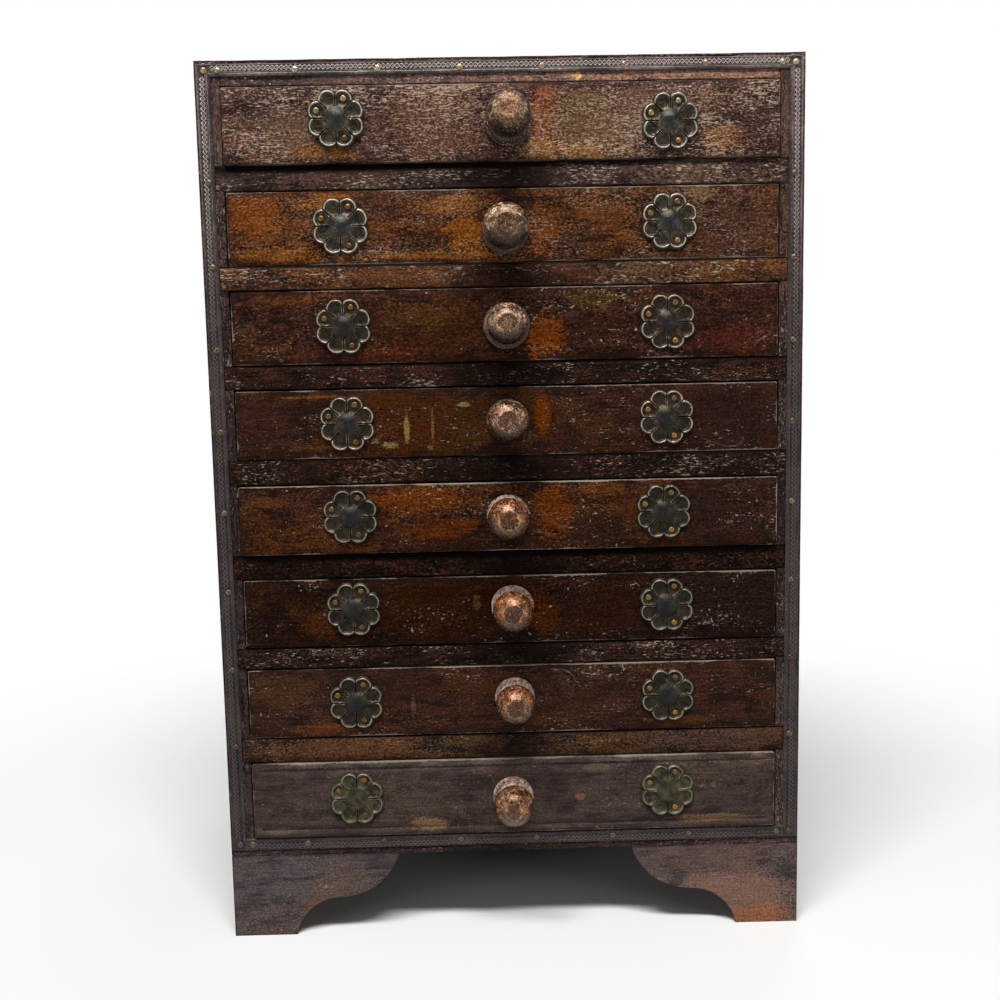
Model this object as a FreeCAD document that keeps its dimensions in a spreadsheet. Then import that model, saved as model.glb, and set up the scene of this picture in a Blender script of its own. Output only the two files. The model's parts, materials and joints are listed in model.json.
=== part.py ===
"""Spice drawer cabinet: a tabletop case of eight shallow drawers, one above the other.

Millimetres. +Z is up and the drawers open towards -Y. The origin is on the ground, under the
middle of the whole piece, its knobs included. Every size is a cell of the sheet "Sizes".
"""
import FreeCAD, Part
import Sketcher
import math
import os
from FreeCAD import Placement, Rotation, Vector

DRAWERS = range(1, 9)  # drawer 1 is the top one
RAILS = range(1, 8)  # rail 1 is the one under drawer 1

doc = FreeCAD.newDocument("spice_drawer_cabinet")

# ---------------------------------------------------------------- sizes

front_heights = (50.5, 49.0, 49.7, 47.3, 48.0, 48.0, 49.2, 54.6)
rail_heights = (16.4, 15.9, 16.4, 17.3, 16.9, 15.2, 17.5)
stand_outs = (2.5, 0.4, 0.8, 0.5, 3.0, 0.8, 0.6, 2.0)

# The fittings were set by eye: how far each one is off its mark in its drawer, sideways and upwards.
off_sideways = {
    "knob": (4.3, 0.9, 0.5, 0, -1, 1, 1.5, -1),
    "left": (0, 0.3, 0, 0.3, 0.5, 0.3, -0.3, -1.8),
    "right": (2, 1.7, 0, -0.8, -3.5, -1.2, -0.6, -1.1),
}
off_upwards = {
    "knob": (0, -3.5, -1, 0.5, 0.7, 2.5, 2, 0),
    "left": (3.4, 0.9, 0.4, 0.3, 2.3, 2.5, 0.3, 1.4),
    "right": (-1.4, 0.7, -0.4, 0.6, 1.4, 1, 0.6, 1.9),
}

rows = [
    ("opening_width", 376.4, "clear width between the side boards"),
    ("carcass_depth", 285, "front edges of the boards to the back face"),
    ("side_thickness", 16.8, "side boards"),
    ("top_thickness", 17, "top board"),
    ("bottom_thickness", 14, "bottom board"),
    ("back_thickness", 7, "back panel"),
    ("corner_lap", 8, "length of a side board let into the top and bottom boards"),
    ("back_lap", 8, "edge of the back panel let into the boards round it"),
    ("housing_depth", 5.8, "rail and runner ends let into the side boards"),
    ("rail_depth", 45, "rails, front to back"),
    ("runner_width", 20, "runners, clear of the side board"),
    ("foot_height", 60, "ground to the bottom board"),
    ("foot_thickness", 16, "bracket boards"),
    ("foot_pad", 45, "width of a bracket at the ground"),
    ("foot_drop", 32.5, "bottom board down to where the ogee turns"),
    ("foot_turn", 78, "corner to where a front bracket's ogee turns"),
    ("foot_reach", 121, "length of a front bracket at the top"),
    ("side_foot_turn", 70, "corner to where a side bracket's ogee turns"),
    ("side_foot_reach", 104, "length of a side bracket at the top"),
    ("block_width", 28, "glue blocks behind the brackets"),
    ("block_relief", 2, "ground up to a glue block"),
    ("strip_width", 8.4, "embossed metal strip"),
    ("strip_thickness", 0.9, "embossed metal strip"),
    ("strip_bead", 1.1, "raised edge of the strip"),
    ("strip_recess", 0.4, "raised edge down to the strip's floor"),
    ("strip_margin", 2.6, "bare wood outside the strip, top and sides"),
    ("strip_rise", 5, "bottom board's underside up to the strip"),
    ("tack_head", 4.4, "across a tack's head"),
    ("tack_head_height", 1.0, "tack's head"),
    ("tack_shank", 1.1, "square shank of a tack"),
    ("tack_length", 9, "shank of a tack"),
    ("tack_pitch", 55, "tacks along the top and bottom strips"),
    ("side_tack_pitch", 56, "tacks up the side strips"),
    ("corner_tack_gap", 9, "corner tack to the next one"),
    ("bottom_tack_shift", -12, "bottom row of tacks, to the side of the middle"),
    ("side_gap", 0.7, "drawer to the side board"),
    ("gap_above", 1.0, "drawer to what is over it"),
    ("gap_below", 0.3, "drawer to what it slides on"),
    ("stop_gap", 0.5, "pushed-in drawer to the back panel"),
    ("front_thickness", 17, "drawer front"),
    ("front_round", 0.8, "worn edge round a drawer front"),
    ("box_side", 9, "drawer sides"),
    ("box_back", 9, "drawer back"),
    ("box_drop", 3, "top of a drawer front down to its sides"),
    ("side_lap", 9, "length of a drawer side let into the front"),
    ("floor_thickness", 5, "drawer bottom"),
    ("floor_rise", 6, "underside of a drawer up to its bottom board"),
    ("floor_groove", 4.5, "edge of the drawer bottom held in its grooves"),
    ("knob_tenon", 4.5, "radius of the peg that goes through the front"),
    ("knob_collar", 15, "radius of the collar on the front"),
    ("knob_collar_height", 3, "straight part of the collar"),
    ("knob_bevel", 1.5, "bevel of the collar"),
    ("knob_neck", 9.5, "radius of the neck"),
    ("knob_neck_out", 8, "drawer front to the neck"),
    ("knob_head", 14.3, "radius of the head"),
    ("knob_head_out", 19, "drawer front to the widest part of the head"),
    ("knob_reach", 31.5, "drawer front to the tip"),
    ("knob_button", 5.5, "radius of the flat on the tip"),
    ("knob_dimple", 0.7, "depth of the dimple in the flat"),
    ("rosette_offset", 111, "middle of the drawer to a rosette's middle"),
    ("petal_circle", 12.8, "rosette's middle to a petal's middle"),
    ("petal_radius", 7.2, "petal"),
    ("petal_height", 2.4, "drawer front to a petal's rim"),
    ("petal_rim", 1.6, "rim round the well of a petal"),
    ("petal_rib", 1.5, "rib between two wells"),
    ("well_depth", 1.3, "rim down to the floor of a well"),
    ("boss_foot", 8.8, "radius where the boss rises out of the petals"),
    ("well_gap", 0.7, "boss to the inner edge of a well"),
    ("boss_shoulder", 6.6, "radius where the boss's dome starts"),
    ("boss_shoulder_height", 3.6, "drawer front to where the dome starts"),
    ("boss_height", 5, "drawer front to the top of the dome"),
    ("pin_circle", 14, "rosette's middle to its pins"),
    ("pin_head", 4.2, "across a pin's head"),
    ("pin_head_height", 0.8, "pin's head"),
    ("pin_shank", 1.0, "square shank of a pin"),
    ("pin_length", 9, "shank of a pin"),
]
for number in DRAWERS:
    rows.append((f"front_height_{number}", front_heights[number - 1], f"front of drawer {number}"))
for number in RAILS:
    rows.append((f"rail_height_{number}", rail_heights[number - 1], f"rail under drawer {number}"))
for number in DRAWERS:
    rows.append((f"proud_{number}", stand_outs[number - 1], f"how far drawer {number} stands out"))
for fitting in ("knob", "left", "right"):
    for number in DRAWERS:
        across = off_sideways[fitting][number - 1]
        up = off_upwards[fitting][number - 1]
        rows.append((f"{fitting}_across_{number}", across, f"drawer {number}, {fitting} fitting, sideways"))
        rows.append((f"{fitting}_up_{number}", up, f"drawer {number}, {fitting} fitting, upwards"))

sheet = doc.addObject("Spreadsheet::Sheet", "Sizes")
for row, (alias, amount, meaning) in enumerate(rows, 1):
    sheet.set(f"A{row}", meaning)
    sheet.set(f"B{row}", str(amount))
    sheet.setAlias(f"B{row}", alias)
doc.recompute()

# ---------------------------------------------------------------- planes that pieces share

width = "(Sizes.opening_width + 2 * Sizes.side_thickness)"
inside = "(Sizes.opening_width / 2)"
outside = f"({width} / 2)"
drawer_width = "(Sizes.opening_width - 2 * Sizes.side_gap)"
most_proud = "max(" + "; ".join(f"Sizes.proud_{number}" for number in DRAWERS) + ")"
front = f"((Sizes.knob_reach + {most_proud} - Sizes.carcass_depth) / 2)"
back = f"({front} + Sizes.carcass_depth - Sizes.back_thickness)"
floor = "(Sizes.foot_height + Sizes.bottom_thickness)"

# The stack of drawers and rails, from the bottom board up.
opening_floor = {8: floor}
opening_top = {}
for number in reversed(DRAWERS):
    opening_top[number] = (
        f"({opening_floor[number]} + Sizes.gap_below + Sizes.front_height_{number} + Sizes.gap_above)"
    )
    if number > 1:
        opening_floor[number - 1] = f"({opening_top[number]} + Sizes.rail_height_{number - 1})"
ceiling = opening_top[1]
top = f"({ceiling} + Sizes.top_thickness)"
strip_low = "(Sizes.foot_height + Sizes.strip_rise)"
strip_high = f"({top} - Sizes.strip_margin)"
strip_side = f"({outside} - Sizes.strip_margin)"

# ---------------------------------------------------------------- helpers


def value(expression):
    """What an expression of the sheet comes to, as a sketch's first guess."""
    return float(sheet.evalExpression(expression))


def bind(item, places):
    """Tie properties of an item to expressions."""
    for path, expression in places.items():
        item.setExpression(path, expression)


def put(item, x, y, z):
    """Tie an item's place to three expressions."""
    bind(item, {"Placement.Base.x": x, "Placement.Base.y": y, "Placement.Base.z": z})
    return item


def board(name, size, corner):
    """A plain board: its three sizes and its lowest corner are expressions."""
    plank = doc.addObject("Part::Box", name)
    bind(plank, {"Length": size[0], "Width": size[1], "Height": size[2]})
    return put(plank, *corner)


def cut(name, base, *tools):
    """A piece less the pieces that are let into it."""
    joined = tools[0]
    if len(tools) > 1:
        joined = group(name + "_seats", tools)
    result = doc.addObject("Part::Cut", name)
    result.Base = base
    result.Tool = joined
    return result


def group(name, pieces):
    """Separate solids kept together."""
    result = doc.addObject("Part::Compound", name)
    result.Links = list(pieces)
    return result


def copy_of(name, piece, x, y, z, turn=Rotation()):
    """A linked copy of a piece, turned and then set down at three expressions."""
    copy = doc.addObject("App::Link", name)
    copy.LinkedObject = piece
    copy.Placement = Placement(Vector(), turn)
    return put(copy, x, y, z)


def mirrored(name, piece):
    """The same piece on the other side of the cabinet."""
    other = doc.addObject("Part::Mirroring", name)
    other.Source = piece
    other.Normal = Vector(1, 0, 0)
    return other


def sketch_on(body, role, name, offset=Placement()):
    """A sketch on one of the body's own origin planes."""
    sketch = body.newObject("Sketcher::SketchObject", name)
    plane = next(item for item in body.Origin.OriginFeatures if item.Role == role)
    sketch.AttachmentSupport = [(plane, "")]
    sketch.MapMode = "FlatFace"
    sketch.AttachmentOffset = offset
    return sketch


def hold(sketch, geometry, point, across=None, up=None):
    """Tie a point of a sketch to expressions, measured from the sketch's origin."""
    for kind, expression, axis in (("DistanceX", across, -2), ("DistanceY", up, -1)):
        if expression is None:
            continue
        amount = value(expression)
        if amount == 0:
            sketch.addConstraint(Sketcher.Constraint("PointOnObject", geometry, point, axis))
            continue
        index = sketch.addConstraint(Sketcher.Constraint(kind, -1, 1, geometry, point, amount))
        sketch.setExpression(f"Constraints[{index}]", expression)


def outline(sketch, corners, arcs=None):
    """A closed outline through corners. An arc's centre is level with "up" or in line with "across"."""
    arcs = arcs or {}
    points = [Vector(value(x), value(y), 0) for x, y in corners]
    ends = []
    for index, start in enumerate(points):
        end = points[(index + 1) % len(points)]
        if index in arcs:
            ends.append(add_arc(sketch, start, end, *arcs[index]))
        else:
            ends.append((sketch.addGeometry(Part.LineSegment(start, end)), 1, 2))
    for index, (geometry, first, last) in enumerate(ends):
        following, following_first, _ = ends[(index + 1) % len(ends)]
        sketch.addConstraint(
            Sketcher.Constraint("Coincident", geometry, last, following, following_first)
        )
        hold(sketch, geometry, first, *corners[index])


def add_arc(sketch, start, end, way, expression):
    """The short arc from start to end whose centre's across or up is given."""
    middle = (start + end) * 0.5
    chord = end - start
    known = value(expression)
    if way == "across":
        centre = Vector(known, middle.y + (middle.x - known) * chord.x / chord.y, 0)
    else:
        centre = Vector(middle.x + (middle.y - known) * chord.y / chord.x, known, 0)
    turns_left = (start - centre).cross(end - centre).z > 0
    first, last = (start, end) if turns_left else (end, start)
    across_axis = Vector(1, 0, 0)
    angles = []
    for point in (first, last):
        spoke = point - centre
        angle = across_axis.getAngle(spoke)
        angles.append(angle if spoke.y >= 0 else -angle)
    circle = Part.Circle(centre, Vector(0, 0, 1), (start - centre).Length)
    geometry = sketch.addGeometry(Part.ArcOfCircle(circle, angles[0], angles[1]))
    if way == "across":
        hold(sketch, geometry, 3, across=expression)
    else:
        hold(sketch, geometry, 3, up=expression)
    return (geometry, 1, 2) if turns_left else (geometry, 2, 1)


def feature(body, kind, name, profile, **settings):
    """A PartDesign feature made from a sketch."""
    result = body.newObject("PartDesign::" + kind, name)
    result.Profile = profile
    for setting, amount in settings.items():
        setattr(result, setting, amount)
    return result


def face_towards(shape, direction):
    """The name of the flat face that looks one way."""
    for index, face in enumerate(shape.Faces, 1):
        if face.normalAt(0, 0).isEqual(direction, 1e-6):
            return f"Face{index}"
    raise ValueError("no face looks that way")


# ---------------------------------------------------------------- carcass


def carcass_boards(tacks):
    """Top, bottom, sides, back, rails and runners, each let into the next."""
    side_low = f"{floor} - Sizes.corner_lap"
    side_size = ("Sizes.side_thickness", "Sizes.carcass_depth", f"{ceiling} - {floor} + 2 * Sizes.corner_lap")
    left = board("left_side_board", side_size, (f"-{outside}", front, side_low))
    right = board("right_side_board", side_size, (inside, front, side_low))

    back_panel = board(
        "back_panel",
        (
            "Sizes.opening_width + 2 * Sizes.back_lap",
            "Sizes.back_thickness",
            f"{ceiling} - {floor} + 2 * Sizes.back_lap",
        ),
        (f"-{inside} - Sizes.back_lap", back, f"{floor} - Sizes.back_lap"),
    )

    rails = []
    runners = []
    for number in RAILS:
        height = f"Sizes.rail_height_{number}"
        level = opening_top[number + 1]
        rails.append(
            board(
                f"rail_{number}",
                ("Sizes.opening_width + 2 * Sizes.housing_depth", "Sizes.rail_depth", height),
                (f"-{inside} - Sizes.housing_depth", front, level),
            )
        )
        for side, x in (
            ("left", f"-{inside} - Sizes.housing_depth"),
            ("right", f"{inside} - Sizes.runner_width"),
        ):
            runners.append(
                board(
                    f"runner_{number}_{side}",
                    (
                        "Sizes.runner_width + Sizes.housing_depth",
                        "Sizes.carcass_depth - Sizes.back_thickness - Sizes.rail_depth",
                        height,
                    ),
                    (x, f"{front} + Sizes.rail_depth", level),
                )
            )
    rail_group = group("drawer_rails", rails)
    runner_group = group("drawer_runners", runners)

    top_size = (width, "Sizes.carcass_depth", "Sizes.top_thickness")
    bottom_size = (width, "Sizes.carcass_depth", "Sizes.bottom_thickness")
    top_blank = board("top_blank", top_size, (f"-{outside}", front, ceiling))
    bottom_blank = board("bottom_blank", bottom_size, (f"-{outside}", front, "Sizes.foot_height"))
    return [
        cut("top_board", top_blank, left, right, back_panel, tacks),
        cut("bottom_board", bottom_blank, left, right, back_panel, tacks),
        cut("left_side", left, rail_group, runner_group, back_panel, tacks),
        cut("right_side", right, rail_group, runner_group, back_panel, tacks),
        back_panel,
        rail_group,
        runner_group,
    ]


# ---------------------------------------------------------------- feet


def bracket(name, role, turn, reach, mitred):
    """An ogee bracket: a lobe under the board, then a cove down to a narrow pad."""
    body = doc.addObject("PartDesign::Body", name)
    profile = sketch_on(body, role, name + "_outline")
    turn_up = "Sizes.foot_height - Sizes.foot_drop"
    outline(
        profile,
        [("0", "0"), ("Sizes.foot_pad", "0"), (turn, turn_up), (reach, "Sizes.foot_height"),
         ("0", "Sizes.foot_height")],
        {1: ("across", turn), 2: ("across", turn)},
    )
    pad = feature(body, "Pad", name + "_board", profile, Reversed=role == "XZ_Plane")
    pad.setExpression("Length", "Sizes.foot_thickness")
    if mitred:
        corner = sketch_on(body, "XY_Plane", name + "_mitre_line")
        thick = "Sizes.foot_thickness"
        far = (thick, "0") if role == "YZ_Plane" else ("0", thick)
        outline(corner, [("0", "0"), (thick, thick), far])
        feature(body, "Pocket", name + "_mitre", corner, Type="ThroughAll", Midplane=True)
    return body


def feet():
    """Bracket feet, mitred at the front corners, with a glue block in each."""
    front_left = bracket("front_bracket", "XZ_Plane", "Sizes.foot_turn", "Sizes.foot_reach", True)
    put(front_left, f"-{outside}", front, "0")
    side_turn = "Sizes.side_foot_turn"
    side_reach = "Sizes.side_foot_reach"
    side_left = bracket("side_bracket", "YZ_Plane", side_turn, side_reach, True)
    put(side_left, f"-{outside}", front, "0")

    rear = bracket("rear_bracket", "YZ_Plane", side_turn, side_reach, False)
    rear.Placement = Placement(Vector(), Rotation(Vector(0, 0, 1), 180))
    put(rear, outside, f"{front} + Sizes.carcass_depth", "0")

    blocks = []
    rear_y = f"{front} + Sizes.carcass_depth - Sizes.block_width"
    for end, y in (("front", f"{front} + Sizes.foot_thickness"), ("rear", rear_y)):
        block = board(
            f"{end}_block",
            ("Sizes.block_width", "Sizes.block_width", "Sizes.foot_height - Sizes.block_relief"),
            (f"-{outside} + Sizes.foot_thickness", y, "Sizes.block_relief"),
        )
        blocks += [block, mirrored(f"{end}_block_right", block)]
    return [
        group("front_bracket_feet", [front_left, mirrored("front_bracket_right", front_left)]),
        group(
            "side_bracket_feet",
            [side_left, mirrored("side_bracket_right", side_left), rear, mirrored("rear_bracket_left", rear)],
        ),
        group("foot_blocks", blocks),
    ]


# ---------------------------------------------------------------- metal strips and their tacks


def strip(name, length):
    """A strip with mitred ends and raised edges, its outer edge along X at its own origin."""
    body = doc.addObject("PartDesign::Body", name)
    wide = "Sizes.strip_width"
    bead = "Sizes.strip_bead"
    face = sketch_on(body, "XZ_Plane", name + "_outline")
    outline(face, mitred_ends(length, "0", wide))
    pad = feature(body, "Pad", name + "_sheet", face)
    pad.setExpression("Length", "Sizes.strip_thickness")
    channel = sketch_on(body, "XZ_Plane", name + "_floor")
    channel.setExpression("AttachmentOffset.Base.z", "Sizes.strip_thickness")
    outline(channel, mitred_ends(length, bead, f"{wide} - {bead}"))
    recess = feature(body, "Pocket", name + "_recess", channel)
    recess.setExpression("Length", "Sizes.strip_recess")
    return body


def mitred_ends(length, near, far):
    """Corners of a band between two distances from the strip's outer edge."""
    return [
        (f"-({length}) / 2 + {near}", f"-({near})"),
        (f"({length}) / 2 - ({near})", f"-({near})"),
        (f"({length}) / 2 - ({far})", f"-({far})"),
        (f"-({length}) / 2 + {far}", f"-({far})"),
    ]


def edge_strips(tacks):
    """Four strips round the front, mitred at the corners, pierced by their tacks."""
    middle = f"({strip_low} + {strip_high}) / 2"
    across = strip("cross_strip", f"2 * {strip_side}")
    upright = strip("upright_strip", f"{strip_high} - {strip_low}")
    y_axis = Vector(0, 1, 0)
    strips = [
        copy_of("top_strip", across, "0", front, strip_high),
        copy_of("bottom_strip", across, "0", front, strip_low, Rotation(y_axis, 180)),
        copy_of("left_strip", upright, f"-{strip_side}", front, middle, Rotation(y_axis, -90)),
        copy_of("right_strip", upright, strip_side, front, middle, Rotation(y_axis, 90)),
    ]
    pierced = []
    for piece in strips:
        pierced.append(cut(piece.Name + "_pierced", piece, tacks))
    return group("edge_strips", pierced)


def nail(name, head, head_height, shank, length):
    """A nail along +Y: an eight-sided hammered head and a square shank."""
    cap = doc.addObject("Part::Prism", name + "_head")
    cap.Polygon = 8
    cap.Placement.Rotation = Rotation(Vector(1, 0, 0), 90)
    bind(cap, {"Circumradius": f"{head} / 2", "Height": head_height})
    stem = board(name + "_stem", (shank, length, shank), (f"-{shank} / 2", "0", f"-{shank} / 2"))
    whole = doc.addObject("Part::MultiFuse", name)
    whole.Shapes = [cap, stem]
    return whole


def strip_tacks():
    """Tacks along the four strips, with one more in each corner."""
    tack = nail(
        "tack", "Sizes.tack_head", "Sizes.tack_head_height", "Sizes.tack_shank", "Sizes.tack_length"
    )
    seat = f"{front} - Sizes.strip_thickness + Sizes.strip_recess"
    centre_line = "Sizes.strip_width / 2"
    rows_up = {"top": f"{strip_high} - {centre_line}", "bottom": f"{strip_low} + {centre_line}"}
    corner_x = f"({strip_side} - {centre_line})"
    middle = f"({strip_low} + {strip_high}) / 2"
    tacks = []
    for row, z in rows_up.items():
        shift = "Sizes.bottom_tack_shift" if row == "bottom" else "0"
        for step in (-2.5, -1.5, -0.5, 0.5, 1.5, 2.5):
            x = f"{step} * Sizes.tack_pitch + {shift}"
            tacks.append(copy_of(f"{row}_tack", tack, x, seat, z))
        for side in (-1, 1):
            x = f"{side} * ({corner_x} - Sizes.corner_tack_gap)"
            tacks.append(copy_of(f"{row}_end_tack", tack, x, seat, z))
            tacks.append(copy_of(f"{row}_corner_tack", tack, f"{side} * {corner_x}", seat, z))
    for side in (-1, 1):
        for step in (-3.5, -2.5, -1.5, -0.5, 0.5, 1.5, 2.5, 3.5):
            z = f"{middle} + {step} * Sizes.side_tack_pitch"
            tacks.append(copy_of("side_tack", tack, f"{side} * {corner_x}", seat, z))
    return group("strip_tacks", tacks)


# ---------------------------------------------------------------- knob and rosette


def knob_master():
    """A turned knob: peg, collar, neck and a round head with a dimpled flat. It points to -Y."""
    body = doc.addObject("PartDesign::Body", "knob")
    profile = sketch_on(body, "XY_Plane", "knob_profile")
    collar_top = "-(Sizes.knob_collar_height + Sizes.knob_bevel)"
    level = "-Sizes.knob_head_out"
    outline(
        profile,
        [
            ("0", "Sizes.front_thickness"),
            ("Sizes.knob_tenon", "Sizes.front_thickness"),
            ("Sizes.knob_tenon", "0"),
            ("Sizes.knob_collar", "0"),
            ("Sizes.knob_collar", "-Sizes.knob_collar_height"),
            ("Sizes.knob_collar - Sizes.knob_bevel", collar_top),
            ("Sizes.knob_neck", "-Sizes.knob_neck_out"),
            ("Sizes.knob_head", level),
            ("Sizes.knob_button", "-Sizes.knob_reach"),
            ("0", "-Sizes.knob_reach + Sizes.knob_dimple"),
        ],
        {6: ("up", level), 7: ("up", level)},
    )
    feature(body, "Revolution", "knob_turning", profile, ReferenceAxis=(profile, ["V_Axis"]))
    return body


def rosette_master():
    """A stamped rosette: eight petals, each with a well, round a domed boss. It faces -Y."""
    body = doc.addObject("PartDesign::Body", "rosette")
    half_petal = Rotation(Vector(0, 0, 1), 22.5)
    petal = sketch_on(body, "XZ_Plane", "petal_circle_line", Placement(Vector(), half_petal))
    middle = Vector(0, value("Sizes.petal_circle"), 0)
    circle = Part.Circle(middle, Vector(0, 0, 1), value("Sizes.petal_radius"))
    petal.addGeometry(circle)
    hold(petal, 0, 3, "0", "Sizes.petal_circle")
    radius = petal.addConstraint(Sketcher.Constraint("Radius", 0, value("Sizes.petal_radius")))
    petal.setExpression(f"Constraints[{radius}]", "Sizes.petal_radius")
    lobe = feature(body, "Pad", "petal", petal)
    lobe.setExpression("Length", "Sizes.petal_height")
    lobes = body.newObject("PartDesign::PolarPattern", "petals")
    lobes.Originals = [lobe]
    lobes.Axis = (petal, ["N_Axis"])
    lobes.Occurrences = 8
    body.Tip = lobes

    dome = sketch_on(body, "XY_Plane", "boss_profile")
    outline(
        dome,
        [
            ("0", "0"),
            ("Sizes.boss_foot", "0"),
            ("Sizes.boss_foot", "-Sizes.petal_height"),
            ("Sizes.boss_shoulder", "-Sizes.boss_shoulder_height"),
            ("0", "-Sizes.boss_height"),
        ],
        {3: ("across", "0")},
    )
    feature(body, "Revolution", "boss", dome, ReferenceAxis=(dome, ["V_Axis"]))

    rim_level = Placement(Vector(), half_petal)
    well = sketch_on(body, "XZ_Plane", "well_line", rim_level)
    well.setExpression("AttachmentOffset.Base.z", "Sizes.petal_height")
    draw_well(well)
    hollow = feature(body, "Pocket", "well", well)
    hollow.setExpression("Length", "Sizes.well_depth")
    hollows = body.newObject("PartDesign::PolarPattern", "wells")
    hollows.Originals = [hollow]
    hollows.Axis = (well, ["N_Axis"])
    hollows.Occurrences = 8
    body.Tip = hollows
    return body


def draw_well(sketch):
    """A petal's well: round outside, with straight sides along the ribs."""
    inner_up = "(Sizes.boss_foot + Sizes.well_gap)"
    inner_half = f"({inner_up} * tan(22.5 deg) - Sizes.petal_rib / 2 / cos(22.5 deg))"
    well_radius = "(Sizes.petal_radius - Sizes.petal_rim)"
    centre_up = "Sizes.petal_circle"
    inner_right = Vector(value(inner_half), value(inner_up), 0)
    inner_left = Vector(-inner_right.x, inner_right.y, 0)
    outer_right = Vector(value(well_radius), value(centre_up), 0)
    outer_left = Vector(-outer_right.x, outer_right.y, 0)
    circle = Part.Circle(Vector(0, value(centre_up), 0), Vector(0, 0, 1), value(well_radius))
    base, right, left, arc = range(4)
    sketch.addGeometry(Part.LineSegment(inner_left, inner_right))
    sketch.addGeometry(Part.LineSegment(inner_right, outer_right))
    sketch.addGeometry(Part.LineSegment(outer_left, inner_left))
    sketch.addGeometry(Part.ArcOfCircle(circle, 0, 3.14159))
    hold(sketch, base, 1, f"-{inner_half}", inner_up)
    hold(sketch, base, 2, inner_half, inner_up)
    for first, first_end, second, second_end in ((base, 2, right, 1), (right, 2, arc, 1), (arc, 2, left, 1),
                                                 (left, 2, base, 1)):
        sketch.addConstraint(Sketcher.Constraint("Coincident", first, first_end, second, second_end))
    hold(sketch, arc, 3, "0", centre_up)
    size = sketch.addConstraint(Sketcher.Constraint("Radius", arc, value(well_radius)))
    sketch.setExpression(f"Constraints[{size}]", well_radius)
    sketch.addConstraint(Sketcher.Constraint("Angle", right, math.radians(67.5)))
    sketch.addConstraint(Sketcher.Constraint("Horizontal", right, 2, left, 1))


# ---------------------------------------------------------------- drawers


def drawer(number, knob, rosette, pin):
    """One drawer: a thick front, nailed sides and back, a grooved bottom and its fittings."""
    name = f"drawer_{number}"
    face = f"({front} - Sizes.proud_{number})"
    low = f"({opening_floor[number]} + Sizes.gap_below)"
    height = f"Sizes.front_height_{number}"
    half = f"({drawer_width} / 2)"
    box_height = f"({height} - Sizes.box_drop)"
    rear = f"({back} - Sizes.stop_gap - Sizes.proud_{number})"
    behind = f"({face} + Sizes.front_thickness - Sizes.side_lap)"
    floor_low = f"({low} + Sizes.floor_rise)"
    middle_up = f"({low} + {height} / 2)"

    side_size = ("Sizes.box_side", f"{rear} - {behind}", box_height)
    left = board(f"{name}_left", side_size, (f"-{half}", behind, low))
    right = board(f"{name}_right", side_size, (f"{half} - Sizes.box_side", behind, low))
    slab_front = f"({face} + Sizes.front_thickness - Sizes.floor_groove)"
    bottom = board(
        f"{name}_bottom",
        (
            f"{drawer_width} - 2 * Sizes.box_side + 2 * Sizes.floor_groove",
            f"{rear} - {slab_front}",
            "Sizes.floor_thickness",
        ),
        (f"-{half} + Sizes.box_side - Sizes.floor_groove", slab_front, floor_low),
    )
    rear_board = board(
        f"{name}_back",
        (
            f"{drawer_width} - 2 * Sizes.box_side",
            "Sizes.box_back",
            f"{box_height} - Sizes.floor_rise - Sizes.floor_thickness",
        ),
        (f"-{half} + Sizes.box_side", f"{rear} - Sizes.box_back", f"{floor_low} + Sizes.floor_thickness"),
    )
    box = group(
        f"{name}_sides_and_back",
        [cut(f"{name}_left_side", left, bottom), cut(f"{name}_right_side", right, bottom), rear_board],
    )

    knob_up = f"{middle_up} + Sizes.knob_up_{number}"
    turned = copy_of(f"{name}_knob_copy", knob, f"Sizes.knob_across_{number}", face, knob_up)
    handle = group(f"{name}_knob", [turned])
    rosettes, pins = rosettes_and_pins(name, number, face, middle_up, rosette, pin)

    blank = front_blank(name, height)
    put(blank, f"-{half}", face, low)
    panel = cut(f"{name}_front", blank, left, right, bottom, handle, pins)
    return [panel, box, bottom, handle, rosettes, pins]


def front_blank(name, height):
    """The board of a drawer front, with its edges worn round at the face."""
    body = doc.addObject("PartDesign::Body", f"{name}_front_blank")
    shape = sketch_on(body, "XZ_Plane", f"{name}_front_outline")
    outline(shape, [("0", "0"), (drawer_width, "0"), (drawer_width, height), ("0", height)])
    pad = feature(body, "Pad", f"{name}_front_board", shape, Reversed=True)
    pad.setExpression("Length", "Sizes.front_thickness")
    doc.recompute()
    worn = body.newObject("PartDesign::Fillet", f"{name}_front_worn")
    worn.Base = (pad, [face_towards(pad.Shape, Vector(0, -1, 0))])
    worn.setExpression("Radius", "Sizes.front_round")
    return body


def rosettes_and_pins(name, number, face, middle_up, rosette, pin):
    """Two rosettes beside the knob, each held by a pin in three of its wells."""
    well_floor = f"{face} - Sizes.petal_height + Sizes.well_depth"
    rosettes = []
    pins = []
    for side, sign in (("left", -1), ("right", 1)):
        x = f"{sign} * Sizes.rosette_offset + Sizes.{side}_across_{number}"
        z = f"{middle_up} + Sizes.{side}_up_{number}"
        flower = copy_of(f"{name}_{side}_flower", rosette, x, face, z)
        here = []
        for angle in (67.5, 157.5, -67.5):
            pin_x = f"{x} + Sizes.pin_circle * cos({angle} deg)"
            pin_z = f"{z} + Sizes.pin_circle * sin({angle} deg)"
            here.append(copy_of(f"{name}_{side}_pin", pin, pin_x, well_floor, pin_z))
        pins += here
        rosettes.append(cut(f"{name}_{side}_rosette", flower, *here))
    return group(f"{name}_rosettes", rosettes), group(f"{name}_pins", pins)


# ---------------------------------------------------------------- build, check and write


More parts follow.
